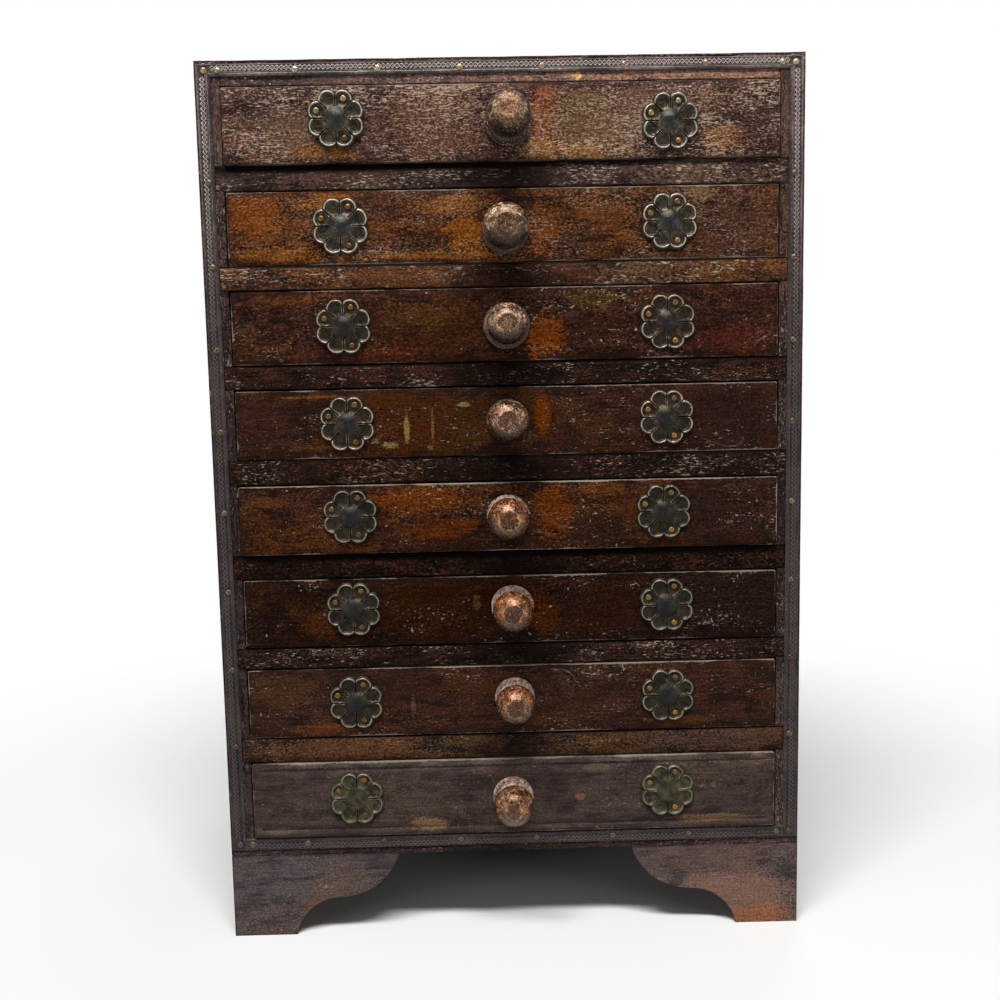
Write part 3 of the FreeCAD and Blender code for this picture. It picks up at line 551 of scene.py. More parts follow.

# %% [markdown]
# ### Looks of the single boards
#
# Each drawer front has had its own life. The top one has faded to a dusty grey-brown and its pores stand out
# like chalk marks, and its pale veil is partly a painted sheen. The second is worn to orange at its left
# end. The next ones get darker and glossier downwards, each with a warm patch to the right of its knob. The
# lowest is matt and nearly black, with a shallow groove round it; its grey cast is partly a painted
# reflection of the floor, and a pale band along its top edge is a painted highlight.

# %% Colours and shares of each board
# A patch is its place along and up from the board's middle (for the carcass, from the ground), half its
# width and half its height, all in millimetres, its colour and how strong it is.
FRONT_LOOKS = {
    # the top front's strong pale veil is partly a painted sheen
    1: {"ground": "43302c", "deep": "281a1a", "warm": "5f3f30", "dust": "bda58f", "pores": 0.85,
        "specks": 0.8, "bloom_and_sheen": 0.6, "edge": 0.3, "patches": (
            (-140, -4, 26, 20, "604838", 0.75), (27, 0, 12, 26, "7a442a", 0.9),
            (60, -6, 34, 26, "664e34", 0.8), (100, 2, 34, 26, "62493c", 0.75),
            (40, -20, 30, 8, "7a5228", 0.7), (148, -14, 18, 12, "724c2a", 0.8),
            (-48, 4, 40, 26, "5a3c2e", 0.7), (-118, -18, 22, 8, "67411c", 0.8))},
    2: {"ground": "402316", "deep": "25120b", "warm": "5b3517", "worn": 0.7, "pores": 0.4, "specks": 0.7,
        "chalk": 0.5, "bloom_and_sheen": 0.2, "patches": (
            (-168, 12, 20, 16, "6b3812", 0.8), (-156, -18, 34, 6, "6d4017", 0.85),
            (-120, 16, 20, 8, "704315", 0.8), (-34, 15, 30, 9, "6c401c", 0.85),
            (-26, -6, 16, 12, "744214", 0.85), (27, -2, 13, 18, "683816", 0.85),
            (-60, -19, 60, 3, "734820", 0.7), (133, 20, 16, 6, "5d4a33", 0.8),
            (110, -4, 20, 10, "4b331d", 0.7), (158, 0, 32, 26, "3c2620", 0.6))},
    3: {"ground": "311a13", "deep": "1a0d0a", "warm": "462613", "worn": 0.4, "pores": 0.35, "specks": 0.7,
        "chalk": 0.5, "bloom_and_sheen": 0.06, "edge": 0.35, "shine": 0.06, "patches": (
            (-147, 20, 24, 5, "522d15", 0.8), (-50, -4, 60, 22, "301607", 0.7),
            (66, -8, 40, 16, "2e1609", 0.6), (27, -8, 15, 18, "632f08", 0.9),
            (60, 16, 22, 6, "422d14", 0.8), (-80, -19, 22, 6, "461b0c", 0.8),
            (160, -12, 34, 12, "3f1a12", 0.8), (-60, 8, 24, 10, "432b14", 0.6))},
    4: {"ground": "341b13", "deep": "190e0b", "warm": "3f240b", "worn": 0.4, "pores": 0.3, "specks": 0.7,
        "chalk": 0.45, "bloom_and_sheen": 0.05, "edge": 0.35, "shine": 0.06, "contrast": 0.9, "patches": (
            (-62, 2, 56, 24, "381a05", 0.8), (-28, 0, 18, 24, "32200a", 0.6), (24, 4, 6, 15, "662f04", 0.9),
            (-140, 19, 30, 1.0, "6d3f19", 0.55), (-130, -16, 26, 1.2, "542f16", 0.6),
            (156, 0, 34, 28, "1e110e", 0.75), (-70, -4, 2.2, 10, "7c6238", 0.85),
            (-52, -2, 1.1, 12, "6a5030", 0.75), (-82, -15, 6, 2.5, "76603a", 0.8),
            (-92, -12, 3, 2, "6a5030", 0.7), (-30, 12, 5, 2, "7a6248", 0.75),
            (-54, -17, 2, 2, "6c5438", 0.7))},
    5: {"ground": "351c13", "deep": "180d09", "warm": "4a270c", "pores": 0.35, "specks": 0.7, "chalk": 0.5,
        "bloom_and_sheen": 0.06, "edge": 0.45, "shine": 0.06, "patches": (
            (-64, 14, 32, 9, "582805", 0.85), (-48, -8, 24, 10, "482004", 0.8),
            (-30, -20, 40, 6, "1c0e08", 0.7), (30, 4, 14, 20, "582a07", 0.9),
            (63, 17, 20, 6, "4a2a0d", 0.8), (-172, 13, 18, 5, "4a2d18", 0.7),
            (66, -10, 24, 12, "1e0e05", 0.75), (156, 0, 46, 30, "20120f", 0.8))},
    6: {"ground": "20100b", "deep": "0f0705", "warm": "331a07", "worn": 0.35, "pores": 0.35, "specks": 0.7,
        "chalk": 0.45, "bloom_and_sheen": 0.05, "edge": 0.3, "shine": 0.05, "contrast": 1.1, "patches": (
            (-50, 0, 56, 24, "230c02", 0.85), (24, -3, 12, 15, "401a02", 0.9),
            (66, 0, 40, 24, "200e07", 0.7), (-24, 5, 3, 7, "503921", 0.6), (-137, -9, 14, 8, "371b0a", 0.8),
            (160, 0, 46, 30, "170e0d", 0.8))},
    7: {"ground": "301c16", "deep": "1a0f0b", "warm": "412415", "worn": 0.45, "pores": 0.3, "specks": 0.6,
        "chalk": 0.45, "bloom_and_sheen": 0.06, "edge": 0.35, "patches": (
            (-166, 9, 22, 14, "3c2417", 0.8), (-30, 10, 26, 10, "391f10", 0.7),
            (-136, -19, 26, 4, "58321c", 0.7), (-71, -4, 2, 9, "533b29", 0.6),
            (58, -3, 36, 12, "372016", 0.6), (120, -18, 30, 4, "452918", 0.7))},
    # the lowest front's grey ground is partly a painted reflection of the floor, and its pale band along the
    # top edge is a painted highlight
    8: {"ground": "403532", "deep": "2e2624", "warm": "4f4032", "dust": "9c8c78", "worn": 0.35,
        "pores": 0.35, "chalk": 0.35, "edge": 0.45, "rough": 0.7, "contrast": 0.5, "patches": (
            (-61, -19, 14, 5, "795e45", 0.8), (141, -20, 30, 3, "74593e", 0.8),
            (59, 19, 14, 4, "554538", 0.7), (47, -2, 4, 3, "745742", 0.7), (0, 26, 230, 2.6, "625754", 0.7),
            (-168, -22, 16, 3, "564a4a", 0.7))},
}
RAIL_LOOKS = {
    1: {"ground": "3f2e2b", "deep": "211818", "warm": "523d2f", "worn": 0.3, "pores": 0.75, "specks": 0.7,
        "chalk": 0.65, "patches": (
            (128, 0, 24, 12, "584236", 0.75), (-110, 0, 40, 8, "49332a", 0.6))},
    2: {"ground": "46291e", "deep": "231711", "warm": "603c1d", "pores": 0.7, "specks": 0.7, "patches": (
            (90, 0, 30, 9, "4c3726", 0.7), (-70, 0, 50, 8, "55331e", 0.7))},
    3: {"ground": "271612", "deep": "0d0807", "warm": "42251a", "worn": 0.3, "pores": 0.6, "specks": 0.4,
        "chalk": 0.5, "shine": 0.05},
    4: {"ground": "23130e", "deep": "0c0807", "warm": "372010", "worn": 0.3, "pores": 0.6, "specks": 0.4,
        "chalk": 0.45, "shine": 0.05},
    5: {"ground": "1b0d09", "deep": "080504", "warm": "31180e", "worn": 0.35, "pores": 0.3, "specks": 0.4,
        "chalk": 0.35, "shine": 0.04},
    6: {"ground": "261612", "deep": "0c0706", "warm": "382015", "worn": 0.3, "pores": 0.6, "specks": 0.6,
        "chalk": 0.5, "shine": 0.05},
    7: {"ground": "32211a", "deep": "120d0c", "warm": "573618", "pores": 0.4, "chalk": 0.45, "patches": (
            (-125, 0, 60, 9, "503421", 0.85), (140, 0, 56, 9, "443028", 0.8),
            (-30, 3, 30, 5, "46321f", 0.7))},
}
TOP_LOOK = {"ground": "5a4641", "deep": "382b2a", "warm": "785a4c", "dust": "c4b4a4", "worn": 0.6,
            "pores": 0.7, "specks": 0.7, "patches": (
                (120, 601, 90, 7, "8a6654", 0.8), (-90, 604, 60, 4, "6c5850", 0.6),
                (-170, 604, 60, 14, "362a2a", 0.85), (51, 600, 2.8, 2.8, "c8985c", 1.0))}
CARCASS_LOOK = {"ground": "2c2122", "deep": "181213", "warm": "43302a", "worn": 0.3, "specks": 0.6,
                "chalk": 0.45, "plain": 0.6, "patches": (
                    (-195, 640, 60, 190, "54423a", 0.6), (195, 640, 60, 230, "584238", 0.6),
                    (-195, 20, 60, 120, "3c3233", 0.6), (195, 20, 60, 190, "443836", 0.6))}
FOOT_LOOK = {"ground": "4f4747", "deep": "373132", "warm": "5c4c46", "dust": "a08e7c", "pores": 0.3,
             "specks": 0.8, "chalk": 0.4, "bloom_and_sheen": 0.2, "rough": 0.65, "contrast": 0.6, "patches": (
                 (-125, 40, 26, 16, "5a4a40", 0.6), (-146, 12, 9, 18, "644636", 0.6),
                 (-172, 4, 26, 5, "5c4840", 0.6), (160, 20, 44, 26, "7a5c50", 0.85),
                 (178, 4, 22, 10, "8c583a", 0.75), (140, 50, 50, 14, "5c4842", 0.7))}
BACK_LOOK = {"ground": "5e4a37", "deep": "43352a", "warm": "66503b", "dust": "8c7c68", "worn": 0.15,
             "pores": 0.2, "specks": 0.4, "chalk": 0.3, "bloom_and_sheen": 0.06, "rough": 0.85, "contrast": 0.4,
             "plain": 1}
INNER_LOOK = {"ground": "8a7154", "deep": "6a543d", "warm": "957a5a", "dust": "b8a88e", "worn": 0.15,
              "pores": 0.1, "specks": 0.3, "chalk": 0.3, "bloom_and_sheen": 0.04, "rough": 0.8, "contrast": 0.35,
              "plain": 1}
print(len(FRONT_LOOKS), "fronts,", len(RAIL_LOOKS), "rails")

# %% [markdown]
# ## The carcass
#
# Top, bottom, sides, back and runners are copies of the construction's boards, rubbed at their edges.
# The top board has had the hardest life, so its front edge is worn most. The seven rails are one group
# in the construction, and here each is a piece of its own with a look of its own.

# %% Carcass boards
WOODS = {
    "top_board": ("X", TOP_LOOK), "bottom_board": ("X", CARCASS_LOOK), "left_side": ("Z", CARCASS_LOOK),
    "right_side": ("Z", CARCASS_LOOK), "front_bracket_feet": ("X", FOOT_LOOK),
    "side_bracket_feet": ("Y", FOOT_LOOK), "back_panel": ("Z", BACK_LOOK),
    "drawer_runners": ("Y", INNER_LOOK), "foot_blocks": ("Z", BACK_LOOK),
}
CUT = 14 * MM
BOARD_WEAR = {"top_board": 1.2 * MM, "front_bracket_feet": 0.7 * MM, "back_panel": 0.3 * MM}
for seed, (node, (grain, look)) in enumerate(WOODS.items(), 3):
    board = copy_of(node, "worn_" + node)
    cut_across(board, "X", CUT)
    cut_across(board, "Z", CUT)
    rub(board, 0.7 * MM, BOARD_WEAR.get(node, 0.5 * MM))
    hand_over(board, "cabinet", SLOTS[node], stained_wood("wood_" + node, grain, look, seed), node)
    print(node, len(board.data.polygons), "faces")

# %% Rails, each a piece of its own, with a painted shadow under the drawer above and under its knob
# Painted shadows: a near-black band along each rail's top edge, where the drawer above throws its shadow,
# and a dark patch where the knob's shadow falls.
DRAWER_SHADOW = {1: (5.4, -110), 5: (4.0, 0), 3: (1.6, 0)}  # how deep, and where along the rail it is deepest
LEAST_DRAWER_SHADOW = (1.2, 0)
SHADOW_REACH, KNOB_SHADOW_SIZE = 260, (44, 18)  # half of its width along a rail, half its size under a knob
KNOB_SHADOW, LAST_KNOB_SHADOW = 0.7, 0.35  # how strong the painted shadow under a knob is, and on the lowest rail


def moved_up(look, middle_z):
    """A look whose patches have moved from round nought to round the board's middle."""
    return {**look, "patches": [(x, z + middle_z, *rest) for x, z, *rest in look.get("patches", ())]}


rails = copy_of("drawer_rails", "rail")
cut_across(rails, "X", CUT)
rub(rails, 0.6 * MM, 0.35 * MM)
take_up(rails)
bpy.ops.mesh.separate(type="LOOSE")
rails = sorted(bpy.context.selected_objects, key=lambda rail: -rail.data.vertices[0].co.z)
for number, rail in enumerate(rails, 1):
    rail.name = f"rail_{number}"
    heights = [v.co.z for v in rail.data.vertices]
    middle_z, top_z = sum(heights) / len(heights) / MM, max(heights) / MM
    deep, x = DRAWER_SHADOW.get(number, LEAST_DRAWER_SHADOW)
    look = moved_up(RAIL_LOOKS[number], middle_z)
    under_knob = LAST_KNOB_SHADOW if number == len(rails) else KNOB_SHADOW
    # the painted shadows, under the drawer above and under its knob
    look["soot"] = ((x, top_z, SHADOW_REACH, 1.2 * deep, "030203", 1.0),
                    (0, middle_z, *KNOB_SHADOW_SIZE, "070404", under_knob))
    finish = stained_wood(f"wood_rail_{number}", "X", look, 20 + number)
    hand_over(rail, "cabinet", "rail_wood", finish, "drawer_rails")
print(len(rails), "rails")

# %% [markdown]
# ## Drawers
#
# A front is one thick board. It is made from a cube that is stretched to the board's size, divided
# along and up so that its edges can wander, and rubbed. The holes for the knob's peg and the pins are
# left out, because what stands in them hides them. The lowest front has a shallow groove round it. The
# box behind is softwood that was never stained.

# %% A front from a cube
def block(name, low, high, cuts):
    """A box from a cube, stretched between two corners and cut across along each axis, a spacing apart."""
    deselect()
    bpy.ops.mesh.primitive_cube_add(size=1, location=(0, 0, 0))
    piece = bpy.context.object
    piece.name = name
    bpy.ops.object.mode_set(mode="EDIT")
    bpy.ops.transform.resize(value=high - low, center_override=(0, 0, 0))
    bpy.ops.transform.translate(value=(low + high) / 2)
    bpy.ops.object.mode_set(mode="OBJECT")
    for axis, spacing in cuts.items():
        cut_across(piece, axis, spacing)
    return piece


GROOVE = ((4.6, 0), (0.8, -0.55), (0.8, 0.55))  # across the face and out of it, step by step, in millimetres


def groove_in(front, face):
    """A shallow groove run round a front, a little inside its edge."""
    pick(front, front.data.polygons, lambda polygon: abs(polygon.center.y - face) < 0.01 * MM)
    bpy.ops.mesh.select_mode(type="FACE")
    for across, depth in GROOVE:
        bpy.ops.mesh.inset(thickness=across * MM, depth=depth * MM)
    bpy.ops.mesh.select_mode(type="VERT")
    bpy.ops.object.mode_set(mode="OBJECT")


FRONT_CUTS = {"X": 12 * MM, "Z": 12 * MM, "Y": 8 * MM}
print("a front is cut every", FRONT_CUTS["X"] / MM, "mm")

# %% Eight drawers
for n in DRAWERS:
    low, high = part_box(f"drawer_{n}_front")
    look = moved_up(FRONT_LOOKS[n], (low.z + high.z) / 2 / MM)
    front = block(f"front_{n}", low, high, FRONT_CUTS)
    if n == DRAWERS[-1]:
        groove_in(front, low.y)
    rub(front, 0.8 * MM, 0.25 * MM)
    finish = stained_wood(f"wood_front_{n}", "X", look, 40 + 3 * n, (low, high))
    hand_over(front, f"drawer_{n}", "front_wood", finish, f"drawer_{n}_front")

    for node, grain in ((f"drawer_{n}_sides_and_back", "Y"), (f"drawer_{n}_bottom", "X")):
        inner = stained_wood("wood_" + node, grain, INNER_LOOK, 70 + n)
        board = copy_of(node, "worn_" + node)
        cut_across(board, "X", 3 * CUT)
        rub(board, 0.5 * MM, 0.3 * MM)
        hand_over(board, f"drawer_{n}", "inner_wood", inner, node)
print("eight drawers, front", len(front.data.polygons), "faces")

# %% [markdown]
# ## Turned knobs
#
# Each knob was turned by hand on a simple lathe: a peg, a flat collar, a slim neck, and a round head
# with a small dimpled flat where the lathe's centre held it. No two are quite alike, so each has its
# own collar and head. A ring of vertices is extruded and resized along the outline, as the gouge runs
# along the wood, and a noise then gives it the small flats and dents of use.

# %% The knob's outline
CAD_REACH = 31.5  # the construction's knob, from the front to the tip
PEG_LENGTH, PEG_RADIUS = 16, 4.4
NECK_RADIUS = 9.2
HEAD_START = 142  # where the ball begins behind the head, in degrees from its tip
HEAD_STEPS = 14


def arc(centre_out, centre_radius, radius, start, end, steps):
    """Points (out, radius) on an arc, by angles from the line that points out of the drawer."""
    turns = [math.radians(start + (end - start) * i / steps) for i in range(steps + 1)]
    return [(centre_out + radius * math.cos(t), centre_radius + radius * math.sin(t)) for t in turns]


def knob_outline(collar, head, squash, button):
    """The outline of one knob in millimetres, from the peg's end to the middle of the dished tip."""
    last = math.degrees(math.asin((button + 0.9) / head))
    middle = CAD_REACH - 0.7 - head * squash * math.cos(math.radians(last))
    turns = [math.radians(HEAD_START + (last - HEAD_START) * i / HEAD_STEPS) for i in range(HEAD_STEPS + 1)]
    ball = [(middle + head * squash * math.cos(turn), head * math.sin(turn)) for turn in turns]
    points = [(-PEG_LENGTH, PEG_RADIUS), (-0.2, PEG_RADIUS), (-0.2, collar - 0.6)]
    points += arc(1.4, collar - 1.5, 1.5, 160, 60, 5)
    points += [(3.0, collar - 1.6), (3.5, collar - 2.0)] + arc(3.4, collar - 4.2, 1.6, 85, 15, 4)
    points += [(6.2, NECK_RADIUS + 1.4), (7.6, NECK_RADIUS)]
    points += [(out, r) for out, r in ball if out > 8.2 and (r > NECK_RADIUS or out > middle)]
    tip = ((0.3, button + 0.35), (0.12, button - 0.2), (0.25, button - 0.9), (0.45, button - 2),
           (0.65, button * 0.5), (0.75, button * 0.2))
    return points + [(CAD_REACH - dish, radius) for dish, radius in tip]


print("a knob's outline has", len(knob_outline(16, 14, 0.95, 6)), "points")

# %% A knob from its outline
KNOB_SIDES = 64


def turned_knob(name, outline, centre):
    """A ring of vertices extruded and resized along an outline, closed at both ends."""
    deselect()
    bpy.ops.mesh.primitive_circle_add(vertices=KNOB_SIDES, radius=MM, fill_type="NGON", location=(0, 0, 0))
    knob = bpy.context.object
    knob.name = name
    bpy.ops.object.mode_set(mode="EDIT")
    bpy.ops.mesh.select_all(action="SELECT")
    bpy.ops.transform.rotate(value=math.pi / 2, orient_axis="X", center_override=(0, 0, 0))
    out, radius = outline[0]
    bpy.ops.transform.resize(value=(radius, 1, radius), center_override=(0, 0, 0))
    bpy.ops.transform.translate(value=(0, -out * MM, 0))
    for next_out, next_radius in outline[1:]:
        bpy.ops.mesh.extrude_region_move(TRANSFORM_OT_translate={"value": (0, (out - next_out) * MM, 0)})
        factor = next_radius / radius
        bpy.ops.transform.resize(value=(factor, 1, factor), center_override=(0, 0, 0))
        out, radius = next_out, next_radius
    bpy.ops.mesh.select_all(action="SELECT")
    bpy.ops.mesh.normals_make_consistent(inside=False)
    bpy.ops.transform.translate(value=centre)
    bpy.ops.object.mode_set(mode="OBJECT")
    return knob


hand_work = lumps("hand_work", 7 * MM, 3)
print("flats and dents of", round(hand_work.noise_scale / MM), "mm on a ring of", KNOB_SIDES, "vertices")

# %% [markdown]
# ### What hands do to a knob, and a painted shade below
#
# The top of each head is polished by palms: there the stain is gone, and the wood is orange-brown, glossy
# and mottled where old varnish has crazed. The collar stays dull, grey-brown and streaky with dust in the
# turning marks. The underside of the head is painted darker and greyer, a painted shade.

# %% What is seen on a knob
MOTTLE = 0.34  # flakes of crazed varnish of about 3 mm
GRIT_SCALE = 0.62  # grains of about 2 mm: coarser than life, so that they show
TURNING_MARK = 0.9  # turning marks, about 1 mm apart: coarser than life, so that they show


def knob_patterns(tree, centre, seed):
    """Coordinates in millimetres from the knob's foot, how far out and up, and the noises of the wood."""
    in_mm = add(tree, "Mapping", {"Vector": add(tree, "TexCoord", out="Object"), "Scale": TO_MM,
                                  "Location": tuple(-c / MM for c in centre)})
    shifted = add(tree, "Mapping", {"Vector": in_mm, "Location": (seed * 31, seed * 17, seed * 7)})
    ringed = add(tree, "Mapping", {"Vector": shifted, "Scale": (0.05, TURNING_MARK, 0.05)})
    inwards = add(tree, "SeparateXYZ", {0: in_mm}, "Y")
    return {
        "in_mm": in_mm, "shifted": shifted, "up": add(tree, "SeparateXYZ", {0: in_mm}, "Z"),
        "out": add(tree, "Math", {0: inwards, 1: -1}, operation="MULTIPLY"),
        "mottle": add(tree, "TexNoise", {"Vector": shifted, "Scale": MOTTLE, "Detail": 4, "Roughness": 0.7,
                                         "Distortion": 0.8}),
        "grit": add(tree, "TexNoise", {"Vector": shifted, "Scale": GRIT_SCALE, "Detail": 3,
                                       "Roughness": 0.7}),
        "blotch": add(tree, "TexNoise", {"Vector": shifted, "Scale": 0.13, "Detail": 3}),
        "marks": add(tree, "TexNoise", {"Vector": ringed, "Scale": 1, "Detail": 3, "Roughness": 0.7}),
    }


print("flakes", round(1 / MOTTLE, 1), "mm, turning marks", round(1 / TURNING_MARK, 1), "mm")

# %% The varnished head and the dull collar
def head_and_collar(tree, seen, look):
    """Varnish in flakes on the head, a painted shade below, a dull collar; and the share that hands have
    polished.
    """
    depth = add(tree, "Math", {0: seen["mottle"], 1: seen["blotch"]}, operation="ADD")
    depth = add(tree, "MapRange", {0: depth, 1: 0.84, 2: 1.18}, **SMOOTH)
    head = add(tree, "Mix", {0: depth, 6: linear(look["deep"]), 7: linear(look["head"])}, 2, **COLOUR)
    light = add(tree, "MapRange", {0: seen["mottle"], 1: 0.56, 2: 0.70, 4: look["flakes"]}, **SMOOTH)
    head = add(tree, "Mix", {0: light, 6: head, 7: linear(look["light"])}, 2, **COLOUR)
    # painted shade: the lower side of the head turns darker and greyer, towards the under colour
    low = add(tree, "Math", {0: seen["blotch"], 1: 16, 2: seen["up"]}, operation="MULTIPLY_ADD")
    low = add(tree, "MapRange", {0: low, 1: 6.5, 2: 0.5, 4: look["dirt_and_painted_shade"]}, **SMOOTH)
    head = add(tree, "Mix", {0: low, 6: head, 7: linear(look["under"])}, 2, **COLOUR)
    dull = add(tree, "Math", {0: seen["marks"], 1: seen["mottle"]}, operation="ADD")
    dull = add(tree, "MapRange", {0: dull, 1: 0.8, 2: 1.2}, **SMOOTH)
    collar = add(tree, "Mix", {0: dull, 6: linear(look["under"]), 7: linear(look["collar"])}, 2, **COLOUR)
    line = add(tree, "Math", {0: seen["blotch"], 1: 10, 2: seen["out"]}, operation="MULTIPLY_ADD")
    handled = add(tree, "MapRange", {0: line, 1: look["line"], 2: look["line"] + 4}, **SMOOTH)
    return add(tree, "Mix", {0: handled, 6: collar, 7: head}, 2, **COLOUR), handled


print("head and collar ready")

# %% The tip
def rubbed_tip(tree, seen, look):
    """The shares of bare rough wood at the tip, and of the broken, rubbed ring round it."""
    from_axis = add(tree, "VectorMath", {0: seen["in_mm"], 1: (1, 0, 1)}, operation="MULTIPLY")
    from_axis = add(tree, "VectorMath", {0: from_axis}, "Value", operation="LENGTH")
    from_axis = add(tree, "Math", {0: seen["mottle"], 1: 5, 2: from_axis}, operation="MULTIPLY_ADD")
    tip = add(tree, "MapRange", {0: seen["out"], 1: 22, 2: 24}, **SMOOTH)
    inner = add(tree, "MapRange", {0: from_axis, 1: look["disc"] + 3.4, 2: look["disc"] + 1.6}, **SMOOTH)
    ring = add(tree, "Math", {0: from_axis, 1: look["disc"] + 3.0}, operation="SUBTRACT")
    ring = add(tree, "Math", {0: ring}, operation="ABSOLUTE")
    ring = add(tree, "MapRange", {0: ring, 1: 1.3, 2: 0.3, 4: look["ring_share"]}, **SMOOTH)
    broken = add(tree, "MapRange", {0: seen["blotch"], 1: 0.42, 2: 0.58, 3: 0.15}, **SMOOTH)
    for share in (tip, look["inner_share"]):
        inner = add(tree, "Math", {0: inner, 1: share}, operation="MULTIPLY")
    for share in (tip, broken):
        ring = add(tree, "Math", {0: ring, 1: share}, operation="MULTIPLY")
    return inner, ring


print("tip ready")

# %% The knob's finish
def knob_wood(name, centre, look, seed):
    """Turned and handled hardwood: polished above, dirty below, dull at the collar, rough in the dish."""
    material, tree = new_finish(name)
    seen = knob_patterns(tree, centre, seed)
    colour, handled = head_and_collar(tree, seen, look)
    inner, ring = rubbed_tip(tree, seen, look)
    colour = add(tree, "Mix", {0: inner, 6: colour, 7: linear(look["inner"])}, 2, **COLOUR)
    colour = add(tree, "Mix", {0: ring, 6: colour, 7: linear(look["ring"])}, 2, **COLOUR)

    # light and dark grit over everything, and dust in the turning marks
    mottle, grit, marks, grain = seen["mottle"], seen["grit"], seen["marks"], look["grain"]
    tone = add(tree, "Math", {0: mottle, 1: 0.5, 2: grit}, operation="MULTIPLY_ADD")
    tone = add(tree, "MapRange", {0: tone, 1: 0.58, 2: 0.94, 3: 1 - grain, 4: 1 + 1.3 * grain}, **SMOOTH)
    tone = add(tree, "CombineColor", {0: tone, 1: tone, 2: tone})
    colour = add(tree, "Mix", {0: 1, 6: colour, 7: tone}, 2, blend_type="MULTIPLY", **COLOUR)
    speck = add(tree, "TexVoronoi", {"Vector": seen["shifted"], "Scale": 0.75}, "Distance")
    speck = add(tree, "Math", {0: seen["blotch"], 1: -0.55, 2: speck}, operation="MULTIPLY_ADD")
    speck = add(tree, "MapRange", {0: speck, 1: 0.0, 2: -0.08, 4: look["specks"]}, **SMOOTH)
    groove = add(tree, "MapRange", {0: marks, 1: 0.56, 2: 0.68, 4: look["grooves"]}, **SMOOTH)
    free = add(tree, "Math", {0: handled, 1: -0.9, 2: 1}, operation="MULTIPLY_ADD")
    groove = add(tree, "Math", {0: groove, 1: free}, operation="MULTIPLY")
    pale = add(tree, "Math", {0: groove, 1: speck}, operation="MAXIMUM")
    colour = add(tree, "Mix", {0: pale, 6: colour, 7: linear(look["dust"])}, 2, **COLOUR)

    gloss = add(tree, "Math", {0: handled, 1: look["polish"], 2: 0.62}, operation="MULTIPLY_ADD")
    gloss = add(tree, "Math", {0: inner, 1: 0.05, 2: gloss}, operation="MULTIPLY_ADD")
    gloss = add(tree, "Math", {0: grit, 1: 0.35, 2: gloss}, operation="MULTIPLY_ADD")
    gloss = add(tree, "Math", {0: gloss, 1: 0.15}, operation="SUBTRACT", use_clamp=True)
    height = add(tree, "Math", {0: grit, 1: 0.6, 2: mottle}, operation="MULTIPLY_ADD")
    height = add(tree, "Math", {0: marks, 1: 0.4, 2: height}, operation="MULTIPLY_ADD")
    relief = add(tree, "Bump", {"Strength": 0.8, "Distance": 0.4 * MM, "Height": height})
    add(tree, "OutputMaterial", {0: add(tree, "BsdfPrincipled", {
        "Base Color": colour, "Roughness": gloss, "Specular IOR Level": look["shine"],
        "Specular Tint": linear(WAX), "Normal": relief})})
    return material


print("knob finish ready")

# %% Eight knobs
# under is the colour of the painted shade on the head's lower side, and of the collar between its turning
# marks
GREY_KNOB = {"head": "5f4a3a", "deep": "241812", "light": "a58c70", "under": "0e0a0b", "collar": "3a2f2c",
             "inner": "3c2a1e", "ring": "a8947c", "dust": "b0a08c", "shine": 0.6, "polish": -0.32,
             "flakes": 0.8, "dirt_and_painted_shade": 0.95, "inner_share": 0.75, "ring_share": 0.3, "specks": 0.5,
             "grooves": 0.25, "grain": 0.75}
GLOSSY_KNOB = {**GREY_KNOB, "head": "6e3a1a", "deep": "32180a", "light": "b88c64", "under": "54463d",
               "collar": "7e6e66", "inner": "1e0c04", "ring": "a07c50", "shine": 0.75, "polish": -0.47,
               "flakes": 0.6, "dirt_and_painted_shade": 0.85, "inner_share": 0.7, "specks": 0.3, "grooves": 0.7,
               "grain": 0.85}
